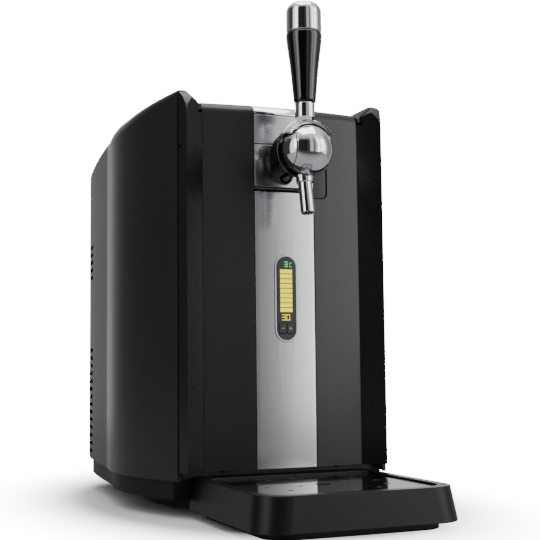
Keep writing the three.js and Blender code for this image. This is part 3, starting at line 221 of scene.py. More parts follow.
def moulded(name, colour, rough, grain, specular=0.5):
    """Moulded plastic: a fine spark-eroded grain, faint flow clouds, and scuffs drawn out in height."""
    r = Recipe(name)
    clouds = r.noise(9, 4, 0.6)
    grains = r.cells(1500)
    fine = r.noise(2600, 2)
    scuffs = r.noise(55, 6, 0.65, at=r.stretched(1, 1, 0.12)).within(0.62, 0.8)
    base = r.shades(clouds, colour, 0.9, 1.1)
    base = r.mixed(grains * 0.35, base, shaded(colour, 1.5))
    base = r.mixed(scuffs * 0.1, base, shaded(colour, 1.6))
    roughness = rough + (clouds - 0.5) * 0.06 + scuffs * 0.02 + (fine - 0.5) * 0.05
    return r.finish(base, roughness, r.bumps(grains + fine * 0.5, grain, 0.08), Specular_IOR_Level=specular)


def polished(name, colour, rough=0.07, haze=0.05):
    """Polished black plastic under a clear coat, with a breath of wipe marks."""
    r = Recipe(name)
    wipes = r.noise(30, 5, 0.6, at=r.stretched(1, 1, 0.3))
    dust = r.cells(900).within(0.0, 0.08, 1.0, 0.0) * r.noise(70, 2).within(0.55, 0.7)
    base = r.mixed(dust * 0.12, colour, (0.25, 0.25, 0.25))
    roughness = rough + wipes * haze + dust * 0.2
    return r.finish(base, roughness, r.bumps(wipes, 0.015, 0.3), Coat_Weight=0.6, Coat_Roughness=0.03)


def chromed(name, tint):
    """Bright chrome plate with smears of handling that only break the reflection a little."""
    r = Recipe(name)
    smears = r.noise(38, 6, 0.62, at=r.stretched(1, 1, 0.5)).within(0.45, 0.85)
    pits = r.cells(700).within(0.0, 0.05, 1.0, 0.0)
    base = r.mixed(smears * 0.3, tint, shaded(tint, 0.92))
    roughness = 0.045 + smears * 0.05 + pits * 0.1
    return r.finish(base, roughness, r.bumps(r.noise(60, 2), 0.01, 0.3), Metallic=1.0)


def silver_paint(name, colour):
    """Satin silver paint: fine flakes under a coat, and a faint drag along its length."""
    r = Recipe(name)
    flakes = r.cells(3800)
    drag = r.noise(260, 3, 0.5, at=r.stretched(1, 1, 0.02))
    clouds = r.noise(12, 3)
    base = r.shades(flakes, colour, 1.12, 0.84)
    base = r.mixed(drag * 0.25, base, shaded(colour, 0.9))
    roughness = 0.16 + (drag - 0.5) * 0.04 + clouds * 0.04 + flakes * 0.03
    return r.finish(base, roughness, r.bumps(flakes * 0.4 + drag, 0.02, 0.05), Metallic=1.0, Coat_Weight=0.2)


def brushed(name, colour, along, rough):
    """Bare metal with the lines of its rolling or brushing along one axis."""
    r = Recipe(name)
    lines = r.noise(900, 3, 0.6, at=r.stretched(*(0.02 if axis == along else 1 for axis in "xyz")))
    clouds = r.noise(18, 4)
    base = r.shades(lines, colour, 0.8, 1.15)
    roughness = rough + (lines - 0.5) * 0.25 + (clouds - 0.5) * 0.1
    return r.finish(base, roughness, r.bumps(lines, 0.12, 0.05), Metallic=1.0)


def rubbery(name, colour):
    """Rubber or silicone: dull, slightly mottled, with a dry bloom."""
    r = Recipe(name)
    bloom = r.noise(60, 5, 0.7).within(0.5, 0.85)
    grit = r.noise(1800, 2)
    base = r.mixed(bloom * 0.5, colour, shaded(colour, 3.2))
    roughness = 0.74 + bloom * 0.16 + (grit - 0.5) * 0.08
    return r.finish(base, roughness, r.bumps(grit, 0.2, 0.06), Specular_IOR_Level=0.35)


def foamed(name, colour):
    """Rigid foam with open cells at its skin."""
    r = Recipe(name)
    pores = r.cells(520)
    clouds = r.noise(22, 4)
    base = r.shades(pores, colour, 0.7, 1.05)
    base = r.mixed(clouds * 0.3, base, shaded(colour, 0.85))
    return r.finish(base, 0.85 + (clouds - 0.5) * 0.1, r.bumps(pores, 0.5, 0.3))


def liner_plastic(name, colour):
    """Vacuum formed liner: smooth, a little cloudy, with fine vertical draw lines."""
    r = Recipe(name)
    draw = r.noise(300, 2, 0.5, at=r.stretched(1, 1, 0.03))
    clouds = r.noise(14, 4, 0.6)
    roughness = 0.34 + (clouds - 0.5) * 0.14 + (draw - 0.5) * 0.08
    return r.finish(r.shades(clouds, colour, 0.93, 1.05), roughness, r.bumps(draw, 0.04, 0.1))


def circuit(name, colour):
    """Circuit board: solder mask over a maze of tracks, with tinned pads."""
    r = Recipe(name)
    across = (r.x * 900).sine()
    up = (r.z * 760).sine()
    choice = r.noise(45, 1).within(0.49, 0.51)
    tracks = (across * choice + up * (1 - choice)).within(0.55, 0.75)
    pads = r.cells(170).within(0.12, 0.16, 1.0, 0.0)
    base = r.mixed(tracks * 0.6, colour, shaded(colour, 2.4))
    base = r.mixed(pads, base, (0.62, 0.6, 0.55))
    return r.finish(base, 0.32 + tracks * 0.1, r.bumps(tracks + pads, 0.2, 0.05), Metallic=pads * 0.9)


def ceramic(name, colour):
    """Pressed ceramic plate with a fine pitted face."""
    r = Recipe(name)
    pits = r.noise(1200, 4)
    clouds = r.noise(90, 3)
    return r.finish(r.shades(pits, colour, 0.88, 1), 0.55 + (clouds - 0.5) * 0.15, r.bumps(pits, 0.15, 0.05))


def punched_case(name, colour):
    """Zinc plated case of the supply, its spangle and rows of punched holes on its faces; the holes are
    painted near black as painted shade inside them.
    """
    r = Recipe(name)
    spangle = r.cells(90, at=r.stretched(1, 1.4, 1))
    rows = (r.x * 1100).sine() * (r.z * 1100).sine()
    holes = rows.within(0.35, 0.5) * (r.z > 0.05) * (r.z < 0.078)
    base = r.shades(spangle, colour, 0.75, 1.15)
    # Painted shade: the holes are near black for the shade inside them; they also lose their metal and sink
    # in the bump
    base = r.mixed(holes, base, (0.01, 0.01, 0.01))
    return r.finish(base, 0.36 + spangle * 0.15, r.bumps(holes, -0.4, 0.4), Metallic=1 - holes)


def lit_sign(name, colour, strength):
    """A lit segment behind smoked plastic, slightly uneven."""
    r = Recipe(name)
    flicker = r.noise(500, 2)
    glow = r.mixed(flicker * 0.35, colour, shaded(colour, 0.75))
    base = r.shades(flicker, colour, 0.8, 1)
    return r.finish(base, 0.3 + flicker * 0.1, Emission_Color=glow, Emission_Strength=strength)


def smoked_window(name, colour):
    """Glossy black window of the display, faintly greener where the display lies behind it."""
    r = Recipe(name)
    behind = r.x.absolute().within(0.0055, 0.008, 1.0, 0.0)
    wipes = r.noise(40, 5)
    base = r.mixed(behind * 0.5, colour, (0.012, 0.014, 0.012))
    return r.finish(base, 0.04 + wipes * 0.05, r.bumps(wipes, 0.01, 0.2), Coat_Weight=0.8)


def printed(name, colour):
    """Printed or moulded-in mark, slightly uneven."""
    r = Recipe(name)
    speckle = r.noise(1500, 3)
    return r.finish(r.shades(speckle.within(0.4, 0.7), colour, 1, 0.8), 0.45 + speckle * 0.1)


finishes = {}


def make_finishes(colours):
    """Every finish by its plain name."""
    shell, panel, gloss = tuple(colours.shell), tuple(colours.panel), tuple(colours.gloss)
    finishes.update(
        shell=moulded("charcoal shell", shell, 0.36, 0.12),
        rear=moulded("charcoal rear cover", shaded(shell, 1.1), 0.46, 0.18),
        panel=moulded("black door panel", panel, 0.28, 0.07, specular=0.45),
        band=moulded("black slanted band", shaded(panel, 0.6), 0.27, 0.08),
        plinth=moulded("matt plinth", (0.005, 0.005, 0.0055), 0.55, 0.2, specular=0.3),
        tray=moulded("charcoal tray", shaded(shell, 0.5), 0.36, 0.16, specular=0.3),
        gloss=polished("polished black", gloss),
        grid=polished("polished grid", shaded(gloss, 1.2), 0.1, 0.08),
        chrome=chromed("chrome plate", (0.83, 0.84, 0.86)),
        strip=silver_paint("silver strip", tuple(colours.strip)),
        aluminium=brushed("cast aluminium", (0.62, 0.63, 0.64), "z", 0.34),
        steel=brushed("plated steel", (0.5, 0.5, 0.51), "z", 0.3),
        rubber=rubbery("black rubber", (0.012, 0.012, 0.012)),
        gasket=rubbery("grey seal", (0.09, 0.09, 0.095)),
        hose=rubbery("milky silicone hose", (0.42, 0.42, 0.4)),
        foam=foamed("rigid foam", (0.8, 0.74, 0.55)),
        liner=liner_plastic("pale liner", (0.62, 0.64, 0.65)),
        board=circuit("circuit board", (0.012, 0.11, 0.035)),
        ceramic=ceramic("ceramic plate", (0.78, 0.78, 0.75)),
        supply=punched_case("supply case", (0.55, 0.56, 0.57)),
        fan=moulded("fan plastic", (0.014, 0.014, 0.015), 0.38, 0.1),
        window=smoked_window("smoked window", shaded(gloss, 0.8)),
        bar=lit_sign("lit bar", tuple(colours.bar), 0.8),
        green_sign=lit_sign("green reading", (0.2, 0.8, 0.25), 0.9),
        white_mark=printed("pale mark", (0.55, 0.56, 0.58)),
        # Painted shade: near black, filling the seams beside the strip, the gap under the carrier, the
        # spout's throat and the louvres
        dark_gap=rubbery("dark gap", (0.004, 0.004, 0.004)),
        brass=brushed("plug pins", (0.66, 0.58, 0.42), "y", 0.26),
        magnet=brushed("plated magnet", (0.36, 0.36, 0.38), "x", 0.24),
    )


# Modelling, as by hand: a primitive is added, shaped in edit mode and finished with applied modifiers


def fresh():
    """Leaves edit mode with nothing selected."""
    if bpy.context.object is not None and bpy.context.object.mode != "OBJECT":
        bpy.ops.object.mode_set(mode="OBJECT")
    bpy.ops.object.select_all(action="DESELECT")


def chosen(piece):
    """Makes a piece the only selected and active one."""
    fresh()
    piece.select_set(True)
    bpy.context.view_layer.objects.active = piece
    return piece


def added(name):
    """The object that an operator has just added, by its new name."""
    piece = bpy.context.object
    piece.name = name
    return piece


def editing(piece):
    chosen(piece)
    bpy.ops.object.mode_set(mode="EDIT")
    bpy.ops.mesh.select_mode(type="VERT")
    bpy.ops.mesh.select_all(action="SELECT")


def settle(piece):
    """Puts the object at the origin, with its place in its mesh."""
    chosen(piece)
    bpy.ops.object.transform_apply(location=True, rotation=True, scale=True)
    return piece


def apply_modifier(piece, kind, **settings):
    chosen(piece)
    modifier = piece.modifiers.new(kind.title(), kind)
    for key, value in settings.items():
        setattr(modifier, key, value)
    bpy.ops.object.modifier_apply(modifier=modifier.name)


def rounded(piece, width, segments=2, angle=35):
    """Rounds the edges sharper than an angle."""
    apply_modifier(
        piece, "BEVEL", width=width, segments=segments, limit_method="ANGLE", angle_limit=math.radians(angle),
        use_clamp_overlap=True, harden_normals=False,
    )
    return piece


def smoothed(piece, angle):
    chosen(piece)
    bpy.ops.object.shade_smooth_by_angle(angle=math.radians(angle))


def outwards(piece):
    """Closes small cracks and turns every face outwards."""
    editing(piece)
    bpy.ops.mesh.remove_doubles(threshold=0.002 * MM)
    bpy.ops.mesh.normals_make_consistent(inside=False)
    fresh()
    return piece


def surface(piece, finish):
    piece.data.materials.clear()
    piece.data.materials.append(finishes[finish])


def place(piece, finish, body, replaced=(), slot=None, angle=35):
    """Gives a finished piece its surface and its body."""
    settle(piece)
    smoothed(piece, angle)
    surface(piece, finish)
    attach(piece, body)
    if replaced:
        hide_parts(*replaced)
    return piece


def united(name, parts):
    """Several meshes as one piece."""
    fresh()
    for part in parts:
        part.select_set(True)
    bpy.context.view_layer.objects.active = parts[0]
    if len(parts) > 1:
        bpy.ops.object.join()
    return added(name)


def trim(name, parts, finish, body, slot):
    """Joins parts into one piece that the solids don't have."""
    return place(united(name, parts), finish, body, slot=slot)


def span(node):
    """A solid's lowest and highest corner, and its middle."""
    low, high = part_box(node)
    return low, high, (low + high) / 2


def side_name(x):
    return "left" if x < 0 else "right"


def level_name(z):
    return "lower" if z < HALF_HEIGHT else "upper"


def solid_box(low, high, edge=0.0, segments=2):
    """A block between two corners with rounded edges; the edge radius is in millimetres."""
    fresh()
    low, high = Vector(low), Vector(high)
    bpy.ops.mesh.primitive_cube_add(size=1, location=(low + high) / 2, scale=high - low)
    piece = settle(added("part"))
    if edge:
        rounded(piece, edge * MM, segments)
    return piece


def row(count, step, low, high, edge, segments=2):
    """Equal blocks at equal steps."""
    low, high, step = Vector(low), Vector(high), Vector(step)
    return [solid_box(low + step * number, high + step * number, edge, segments) for number in range(count)]


def turned(name, profile, centre, steps):
    """A turned piece: a disc drawn up ring by ring through (radius, height) pairs."""
    fresh()
    radius, height = profile[0]
    bpy.ops.mesh.primitive_circle_add(
        vertices=steps, radius=radius, fill_type="NGON", location=(centre[0], centre[1], height)
    )
    piece = added(name)
    editing(piece)
    for wider, higher in profile[1:]:
        bpy.ops.mesh.extrude_region_move(TRANSFORM_OT_translate={"value": (0, 0, higher - height)})
        share = wider / radius
        bpy.ops.transform.resize(value=(share, share, 1), center_override=(centre[0], centre[1], higher))
        radius, height = wider, higher
    fresh()
    return outwards(settle(piece))


def stood(piece, spot, normal):
    """Stands a piece that was made upright on a face."""
    piece.rotation_euler = normal.to_track_quat("Z", "Y").to_euler()
    piece.location = spot
    return piece


def leaned(piece, angle, centre):
    """Leans a piece forwards about a point."""
    turn = Matrix.Translation(centre) @ Matrix.Rotation(-angle, 4, "X") @ Matrix.Translation(-Vector(centre))
    piece.matrix_world = turn @ piece.matrix_world
    return settle(piece)


def ball_part(name, radius, cuts, steps):
    """A ball round the tap's middle after flat cuts, of which each keeps the side behind its normal."""
    fresh()
    bpy.ops.mesh.primitive_uv_sphere_add(
        segments=steps,
        ring_count=steps // 2,
        radius=radius,
        location=tap_centre,
        rotation=(0, math.pi / 2, 0),
    )
    piece = settle(added(name))
    for point, normal, filled in cuts:
        editing(piece)
        bpy.ops.mesh.bisect(plane_co=point, plane_no=normal, clear_outer=True, use_fill=filled)
    fresh()
    return piece


def ball_strap(piece, edge, body, node):
    """Gives an open part of a ball the thickness of its casting."""
    apply_modifier(piece, "SOLIDIFY", thickness=2.3 * MM, offset=-1)
    outwards(piece)
    rounded(piece, *edge)
    place(piece, "chrome", body, (node,), "chrome", 45)


def minus(piece, *tools):
    """Cuts tools out of a piece, and removes the tools."""
    for tool in tools:
        apply_modifier(piece, "BOOLEAN", operation="DIFFERENCE", solver="EXACT", object=tool)
        bpy.data.objects.remove(tool)
    return piece


def rod(diameter, start, end, steps=32, edge=0.0):
    """A round bar between two points; the diameter and the edge radius are in millimetres."""
    fresh()
    start, end = Vector(start), Vector(end)
    along = end - start
    turn = along.to_track_quat("Z", "Y").to_euler()
    bpy.ops.mesh.primitive_cylinder_add(
        vertices=steps,
        radius=diameter * MM / 2,
        depth=along.length,
        location=(start + end) / 2,
        rotation=turn,
    )
    piece = settle(added("part"))
    if edge:
        rounded(piece, edge * MM)
    return piece


def dressed(finish, body, *nodes, share=1.0, angle=35, smooth=35):
    """Finer copies that stand for solids: flat faces made whole, edges rounded by a share of the radius."""
    width = bpy.context.scene.dispenser_sizes.edge * share
    for node in nodes:
        fresh()
        piece = bpy.data.objects.new("fine_" + node, frame["nodes"][node].data.copy())
        bpy.context.scene.collection.objects.link(piece)
        editing(piece)
        bpy.ops.mesh.remove_doubles(threshold=0.01 * MM)
        bpy.ops.mesh.dissolve_limited(angle_limit=math.radians(0.2))
        fresh()
        if width:
            rounded(piece, width, 2, angle)
        smoothed(piece, smooth)
        apply_modifier(piece, "WEIGHTED_NORMAL", keep_sharp=True)
        surface(piece, finish)
        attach(piece, body)
        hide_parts(node)


def surfaced(finish, node):
    """Gives a solid that stays as it is a finish."""
    surface(frame["nodes"][node], finish)


def screw(name, spot, normal, diameter):
    """A pan head screw with a cross recess, standing on a face."""
    radius = diameter * MM / 2
    shares = ((1, 0), (1, 0.25), (0.86, 0.5), (0.5, 0.68))  # the head's profile, in shares of its radius
    profile = [(radius * out, radius * up) for out, up in shares]
    head = turned(name, profile, (0, 0), 24)
    long, short, floor = radius * 0.55, radius * 0.11, radius * 0.3
    recess = [solid_box((-x, -y, floor), (x, y, radius)) for x, y in ((long, short), (short, long))]
    stood(minus(head, *recess), spot, Vector(normal).normalized())
    return place(head, "plinth", "base", angle=30)


def struck(node, start, direction):
    """Where a straight line from a point first meets a solid, and the face's normal there."""
    shape = bmesh.new()
    shape.from_mesh(frame["nodes"][node].data)
    tree = BVHTree.FromBMesh(shape)
    shape.free()
    spot, normal, _, _ = tree.ray_cast(Vector(start), Vector(direction))
    if spot is None:
        raise RuntimeError(f"nothing of {node} lies where a fitting goes")
    return spot, normal


# The display's characters, each made of some of the seven bars of a digit

DIGIT_BARS = {"0": "abcdef", "3": "abcdg", "C": "adef"}


def digit(character, left, bottom, width, height, front):
    """The lit bars of one character, given its lower left corner and its size."""
    thick, half, gap = height / 7, height / 2, 0.05 * MM
    boxes = {
        "a": (0, height - thick, width, height),
        "b": (width - thick, half, width, height),
        "c": (width - thick, 0, width, half),
        "d": (0, 0, width, thick),
        "e": (0, 0, thick, half),
        "f": (0, half, thick, height),
        "g": (0, half - thick / 2, width, half + thick / 2),
    }
    bars = []
    for key in DIGIT_BARS[character]:
        x0, z0, x1, z1 = boxes[key]
        low = (left + x0 + gap, front, bottom + z0 + gap)
        high = (left + x1 - gap, front + 0.2 * MM, bottom + z1 - gap)
        bars.append(solid_box(low, high, 0.06, 1))
    return bars


# The operators: one for each piece or group of like pieces, and one for the stage


class Maker:
    """What the operators share."""

    bl_options = {"REGISTER", "UNDO"}

    def execute(self, context):
        self.make(context.scene.dispenser_sizes)
        return {"FINISHED"}


class DISPENSER_OT_body(Maker, bpy.types.Operator):
    """Side shells, top cover and louvred rear cover, with the rear cover's screws"""

    bl_idname = "dispenser.body"
    bl_label = "Body shells"

    screw_x, screw_sink = 74 * MM, 1.1 * MM
    screw_heights = (110 * MM, 318 * MM)
    louvre_spans = ((35 * MM, 153 * MM), (222 * MM, 265 * MM))  # where the louvres lie in height
    plain_height = 44.2 * MM  # a height between two louvres, where the cover's wall is met
    screen_ends = (172 * MM, 211 * MM)
    screen_gap = 1.8 * MM
    screen_half = 0.4 * MM

    def make(self, sizes):
        dressed("shell", "base", "left_side_shell", "right_side_shell", "top_cover")
        dressed("rear", "base", "rear_cover", share=0.6)
        for side in (-1, 1):
            for height in self.screw_heights:
                spot, normal = struck("rear_cover", (side * self.screw_x, 0.5, height), (0, -1, 0))
                name = f"cover_screw_{side_name(side)}_{level_name(height)}"
                screw(name, spot - normal * self.screw_sink, normal, 6)
            self.screen(side)

    def screen(self, side):
        """A near black sheet just inside the louvres of one side: painted shade behind the slots."""
        ends = [struck("rear_cover", (0, y, self.plain_height), (side, 0, 0))[0] for y in self.screen_ends]
        along = ends[1] - ends[0]
        middle = (ends[0] + ends[1]) / 2 - Vector((side * self.screen_gap, 0, 0))
        half, reach = self.screen_half, along.length * 0.58
        sheets = []
        for low, high in self.louvre_spans:
            sheet = solid_box((-half, -reach, low), (half, reach, high), 0.1, 1)
            sheet.rotation_euler = (0, 0, -math.atan2(along.x, along.y))
            sheet.location = (middle.x, middle.y, 0)
            sheets.append(settle(sheet))
        trim(f"dust_screen_{side_name(side)}", sheets, "dark_gap", "base", "rubber")


class DISPENSER_OT_plinth(Maker, bpy.types.Operator):
    """Recessed plinth with its rubber feet"""

    bl_idname = "dispenser.plinth"
    bl_label = "Plinth and feet"

    def make(self, sizes):
        dressed("plinth", "base", "plinth")
        for number in range(1, 5):
            node = f"foot_{number}"
            low, high, middle = span(node)
            radius = (high.x - low.x) / 2
            profile = [
                (radius * 0.55, low.z + 0.9 * MM), (radius * 0.6, low.z), (radius * 0.9, low.z),
                (radius * 0.97, low.z + 0.5 * MM), (radius, high.z - 0.4 * MM), (radius * 0.96, high.z),
            ]
            foot = turned("rubber_" + node, profile, (middle.x, middle.y), 48)
            place(foot, "rubber", "base", (node,), "rubber")


class DISPENSER_OT_door(Maker, bpy.types.Operator):
    """Door front: panels, slanted bands, silver strips, the carrier and its side plate"""

    bl_idname = "dispenser.door"
    bl_label = "Door front"

    line_start, line_end, line_depth = 0.1 * MM, 0.7 * MM, 4 * MM  # of the painted shade lines in the seams beside the strip
    line_sink, line_inset = 1.5 * MM, 1 * MM
    wall_inset, wall_sink, wall_depth = 0.4 * MM, 0.3 * MM, 0.8 * MM
    wall_down, wall_up = 14 * MM, 3.9 * MM  # from the strip's upper end

    def make(self, sizes):
        dressed("panel", "door", "left_front_panel", "right_front_panel", share=0.8)
        dressed("band", "door", "left_band", "right_band", share=0.8)
        dressed("strip", "door", "lower_strip", "tap_carrier", "upper_strip", share=0.6)
        dressed("chrome", "door", "strip_cap", share=0.6)
        dressed("gloss", "door", "carrier_side_plate")
        self.dark_seams()

    def dark_seams(self):
        """Painted shade: near black lines in the seams beside the strip, and a near black sheet behind the
        gap under the carrier.
        """
        low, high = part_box("lower_strip")
        front, bottom, top = low.y + self.line_sink, low.z + self.line_inset, high.z - self.line_inset
        lines = []
        for side, edge in ((-1, low.x), (1, high.x)):
            x0, x1 = sorted((edge + side * self.line_start, edge + side * self.line_end))
            lines.append(solid_box((x0, front, bottom), (x1, front + self.line_depth, top), 0.1))
        trim("strip_edge_lines", lines, "dark_gap", "door", "rubber")
        # Painted shade: a near black sheet behind the gap under the carrier, so that the gap reads black
        back, inset = high.y - self.wall_sink, self.wall_inset
        wall_low = (low.x + inset, back - self.wall_depth, high.z - self.wall_down)
        wall = solid_box(wall_low, (high.x - inset, back, high.z + self.wall_up), 0.1)
        trim("carrier_gap_wall", [wall], "dark_gap", "door", "rubber")


class DISPENSER_OT_door_inside(Maker, bpy.types.Operator):
    """Inner pan, insulation, seal, catch, hinge lugs and the sleeve of the beer line"""

    bl_idname = "dispenser.door_inside"
    bl_label = "Door inside and hinge"

    rib_count, rib_start, rib_pitch = 4, 0.2, 0.15  # start and pitch are shares of the pan's height
    rib_half_width, rib_height = 62 * MM, 7 * MM

    def make(self, sizes):
        dressed("liner", "door", "door_inner_pan", share=1.6)
        surfaced("foam", "door_insulation")
        dressed("gasket", "door", "door_gasket", share=1.4)
        dressed("steel", "door", "catch_strike", share=0.5)
        dressed("magnet", "base", "catch_magnet", share=0.5)
        dressed("plinth", "base", "lower_hinge_lug", "upper_hinge_lug", share=0.4)
        dressed("rubber", "door", "line_guide", share=0.5)
        self.pan_ribs()

    def pan_ribs(self):
        """Pressed ribs that stiffen the back of the inner pan."""
        low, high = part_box("door_inner_pan")
        tall, reach = high.z - low.z, self.rib_half_width
        z = low.z + tall * self.rib_start
        first = (-reach, high.y - 0.6 * MM, z), (reach, high.y + 0.9 * MM, z + self.rib_height)
        ribs = row(self.rib_count, (0, 0, tall * self.rib_pitch), *first, 1.2, 4)
        trim("pan_ribs", ribs, "liner", "door", "liner")


class DISPENSER_OT_display(Maker, bpy.types.Operator):
    """Display: rim, smoked window, lit bar and readings, and the two keys with their signs"""

    bl_idname = "dispenser.display"
    bl_label = "Display and keys"

    sign_reach, sign_half = 1.6 * MM, 0.22 * MM
    bar_shares = (0.33, 0.85)  # the lit bar's ends, in shares of the window's height
    bar_half_width = 5.9 * MM
    segment_gap = 0.3 * MM  # dark at each end of a segment

    def make(self, sizes):
        dressed("chrome", "door", "display_rim", share=0.5)
        dressed("window", "door", "display_window", share=0.4)
        surfaced("plinth", "display_module")
        for sign, node in (("minus", "minus_key"), ("plus", "plus_key")):
            dressed("window", node, node, share=0.5)
            self.sign(sign, node)
        if sizes.lit:
            self.readings(sizes.bar_segments)

    def sign(self, sign, node):
        """The minus or the plus on a key."""
        low, _, middle = span(node)
        front = low.y - 0.02 * MM
        long, short = self.sign_reach, self.sign_half
        bars = []
        for x, z in ((long, short), (short, long))[: 1 if sign == "minus" else 2]:
            bar_high = (middle.x + x, front + 0.2 * MM, middle.z + z)
            bars.append(solid_box((middle.x - x, front, middle.z - z), bar_high, 0.05, 1))
        trim(sign + "_sign", bars, "white_mark", node, "silver")

    def readings(self, count):
        """The lit bar, the level under it and the temperature over it."""
        low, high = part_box("display_window")
        front = low.y - 0.03 * MM
        bar_low, bar_high = (low.z + (high.z - low.z) * share for share in self.bar_shares)
        pitch = (bar_high - bar_low) / count
        reach, gap = self.bar_half_width, self.segment_gap
        first = (-reach, front, bar_low + gap), (reach, front + 0.25 * MM, bar_low + pitch - gap)
        trim("level_bar", row(count, (0, 0, pitch), *first, 0.1, 1), "bar", "door", "gloss_black")
        level = (("3", -4.6, 3.6, 5.6), ("0", -0.2, 3.6, 5.6))  # character, left end, width and height
        temperature = (("3", -1.8, 3.2, 5.0), ("C", 3.2, 2.4, 4.0))
        for name, finish, bottom, characters in (
            ("level_reading", "bar", bar_low - 7.2 * MM, level),
            ("temperature_reading", "green_sign", bar_high + 1.8 * MM, temperature),
        ):
            bars = []
            for character, left, width, height in characters:
                bars += digit(character, left * MM, bottom, width * MM, height * MM, front)
            trim(name, bars, finish, "door", "gloss_black")


class DISPENSER_OT_tap(Maker, bpy.types.Operator):
    """Ball tap: core, black horn, chrome visor, spout and the round clip of the horn"""

    bl_idname = "dispenser.tap"
    bl_label = "Ball tap"

    spout_lean = 0.2
    spout_rings = (  # radius, and depth under the tap's middle
        (6.9, 14.6), (7.48, 15.2), (7.48, 27.8), (7.25, 28.6), (6.5, 28.9), (6.1, 29.3), (6.08, 55.0),
        (5.9, 55.9), (5.4, 56.2), (4.6, 56.0), (4.5, 55.3), (4.5, 16.0),
    )
    throat_rings = ((4.4, 44), (4.4, 43.6))
    clip_rings = ((3.2, 0), (3.9, 0.3), (3.9, 1.8), (3.4, 2.2), (1.8, 1.6))
    clip_spot, clip_sink = Vector((0, 31 * MM, -11 * MM)), 0.6 * MM

    def make(self, sizes):
        dressed("gloss", "door", "tap_core", share=0.4, smooth=40)
        dressed("gloss", "door", "tap_horn", share=0.6, smooth=40)
        self.visor(sizes)
        self.spout(sizes)
        self.clip()

    def visor(self, sizes):
        """Front cover of the ball: a wedge of its shell between two angles."""
        reach = Vector((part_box("tap_visor")[1].x, 0, 0))
        cuts = [(tap_centre + reach, (1, 0, 0), False), (tap_centre - reach, (-1, 0, 0), False)]
        for angle, side in ((-1.3, -1), (1.15, 1)):
            cuts.append((tap_centre, Vector((0, math.sin(angle) * side, math.cos(angle) * side)), False))
        piece = ball_part("tap_visor_shell", sizes.ball, cuts, sizes.round_steps)
        ball_strap(piece, (0.35 * MM, 2, 50), "visor", "tap_visor")

    def spout(self, sizes):
        """Collar and tube with a rolled lip, and a near black disc in its throat as painted shade, all
        leaning forward.
        """
        start = tap_centre + Vector((0, 9 * MM, 0))
        tube = ("chrome", "door", ("spout",), "chrome", 40)
        throat = ("dark_gap", "door", (), "rubber")
        for name, rings, steps, look in (
            ("spout_tube", self.spout_rings, sizes.round_steps // 2, tube),
            ("spout_throat", self.throat_rings, 32, throat),
        ):
            profile = [(radius * MM, start.z - depth * MM) for radius, depth in rings]
            piece = turned(name, profile, (start.x, start.y), steps)
            place(leaned(piece, self.spout_lean, start), *look)

    def clip(self):
        """Round clip on the horn's left side."""
        profile = [(radius * MM, height * MM) for radius, height in self.clip_rings]
        clip = turned("horn_clip", profile, (0, 0), 40)
        spot = tap_centre + self.clip_spot
        spot, normal = struck("tap_horn", (-0.2, spot.y, spot.z), (1, 0, 0))
        stood(clip, spot - normal * self.clip_sink, normal)
        place(clip, "rubber", "door", slot="rubber", angle=40)


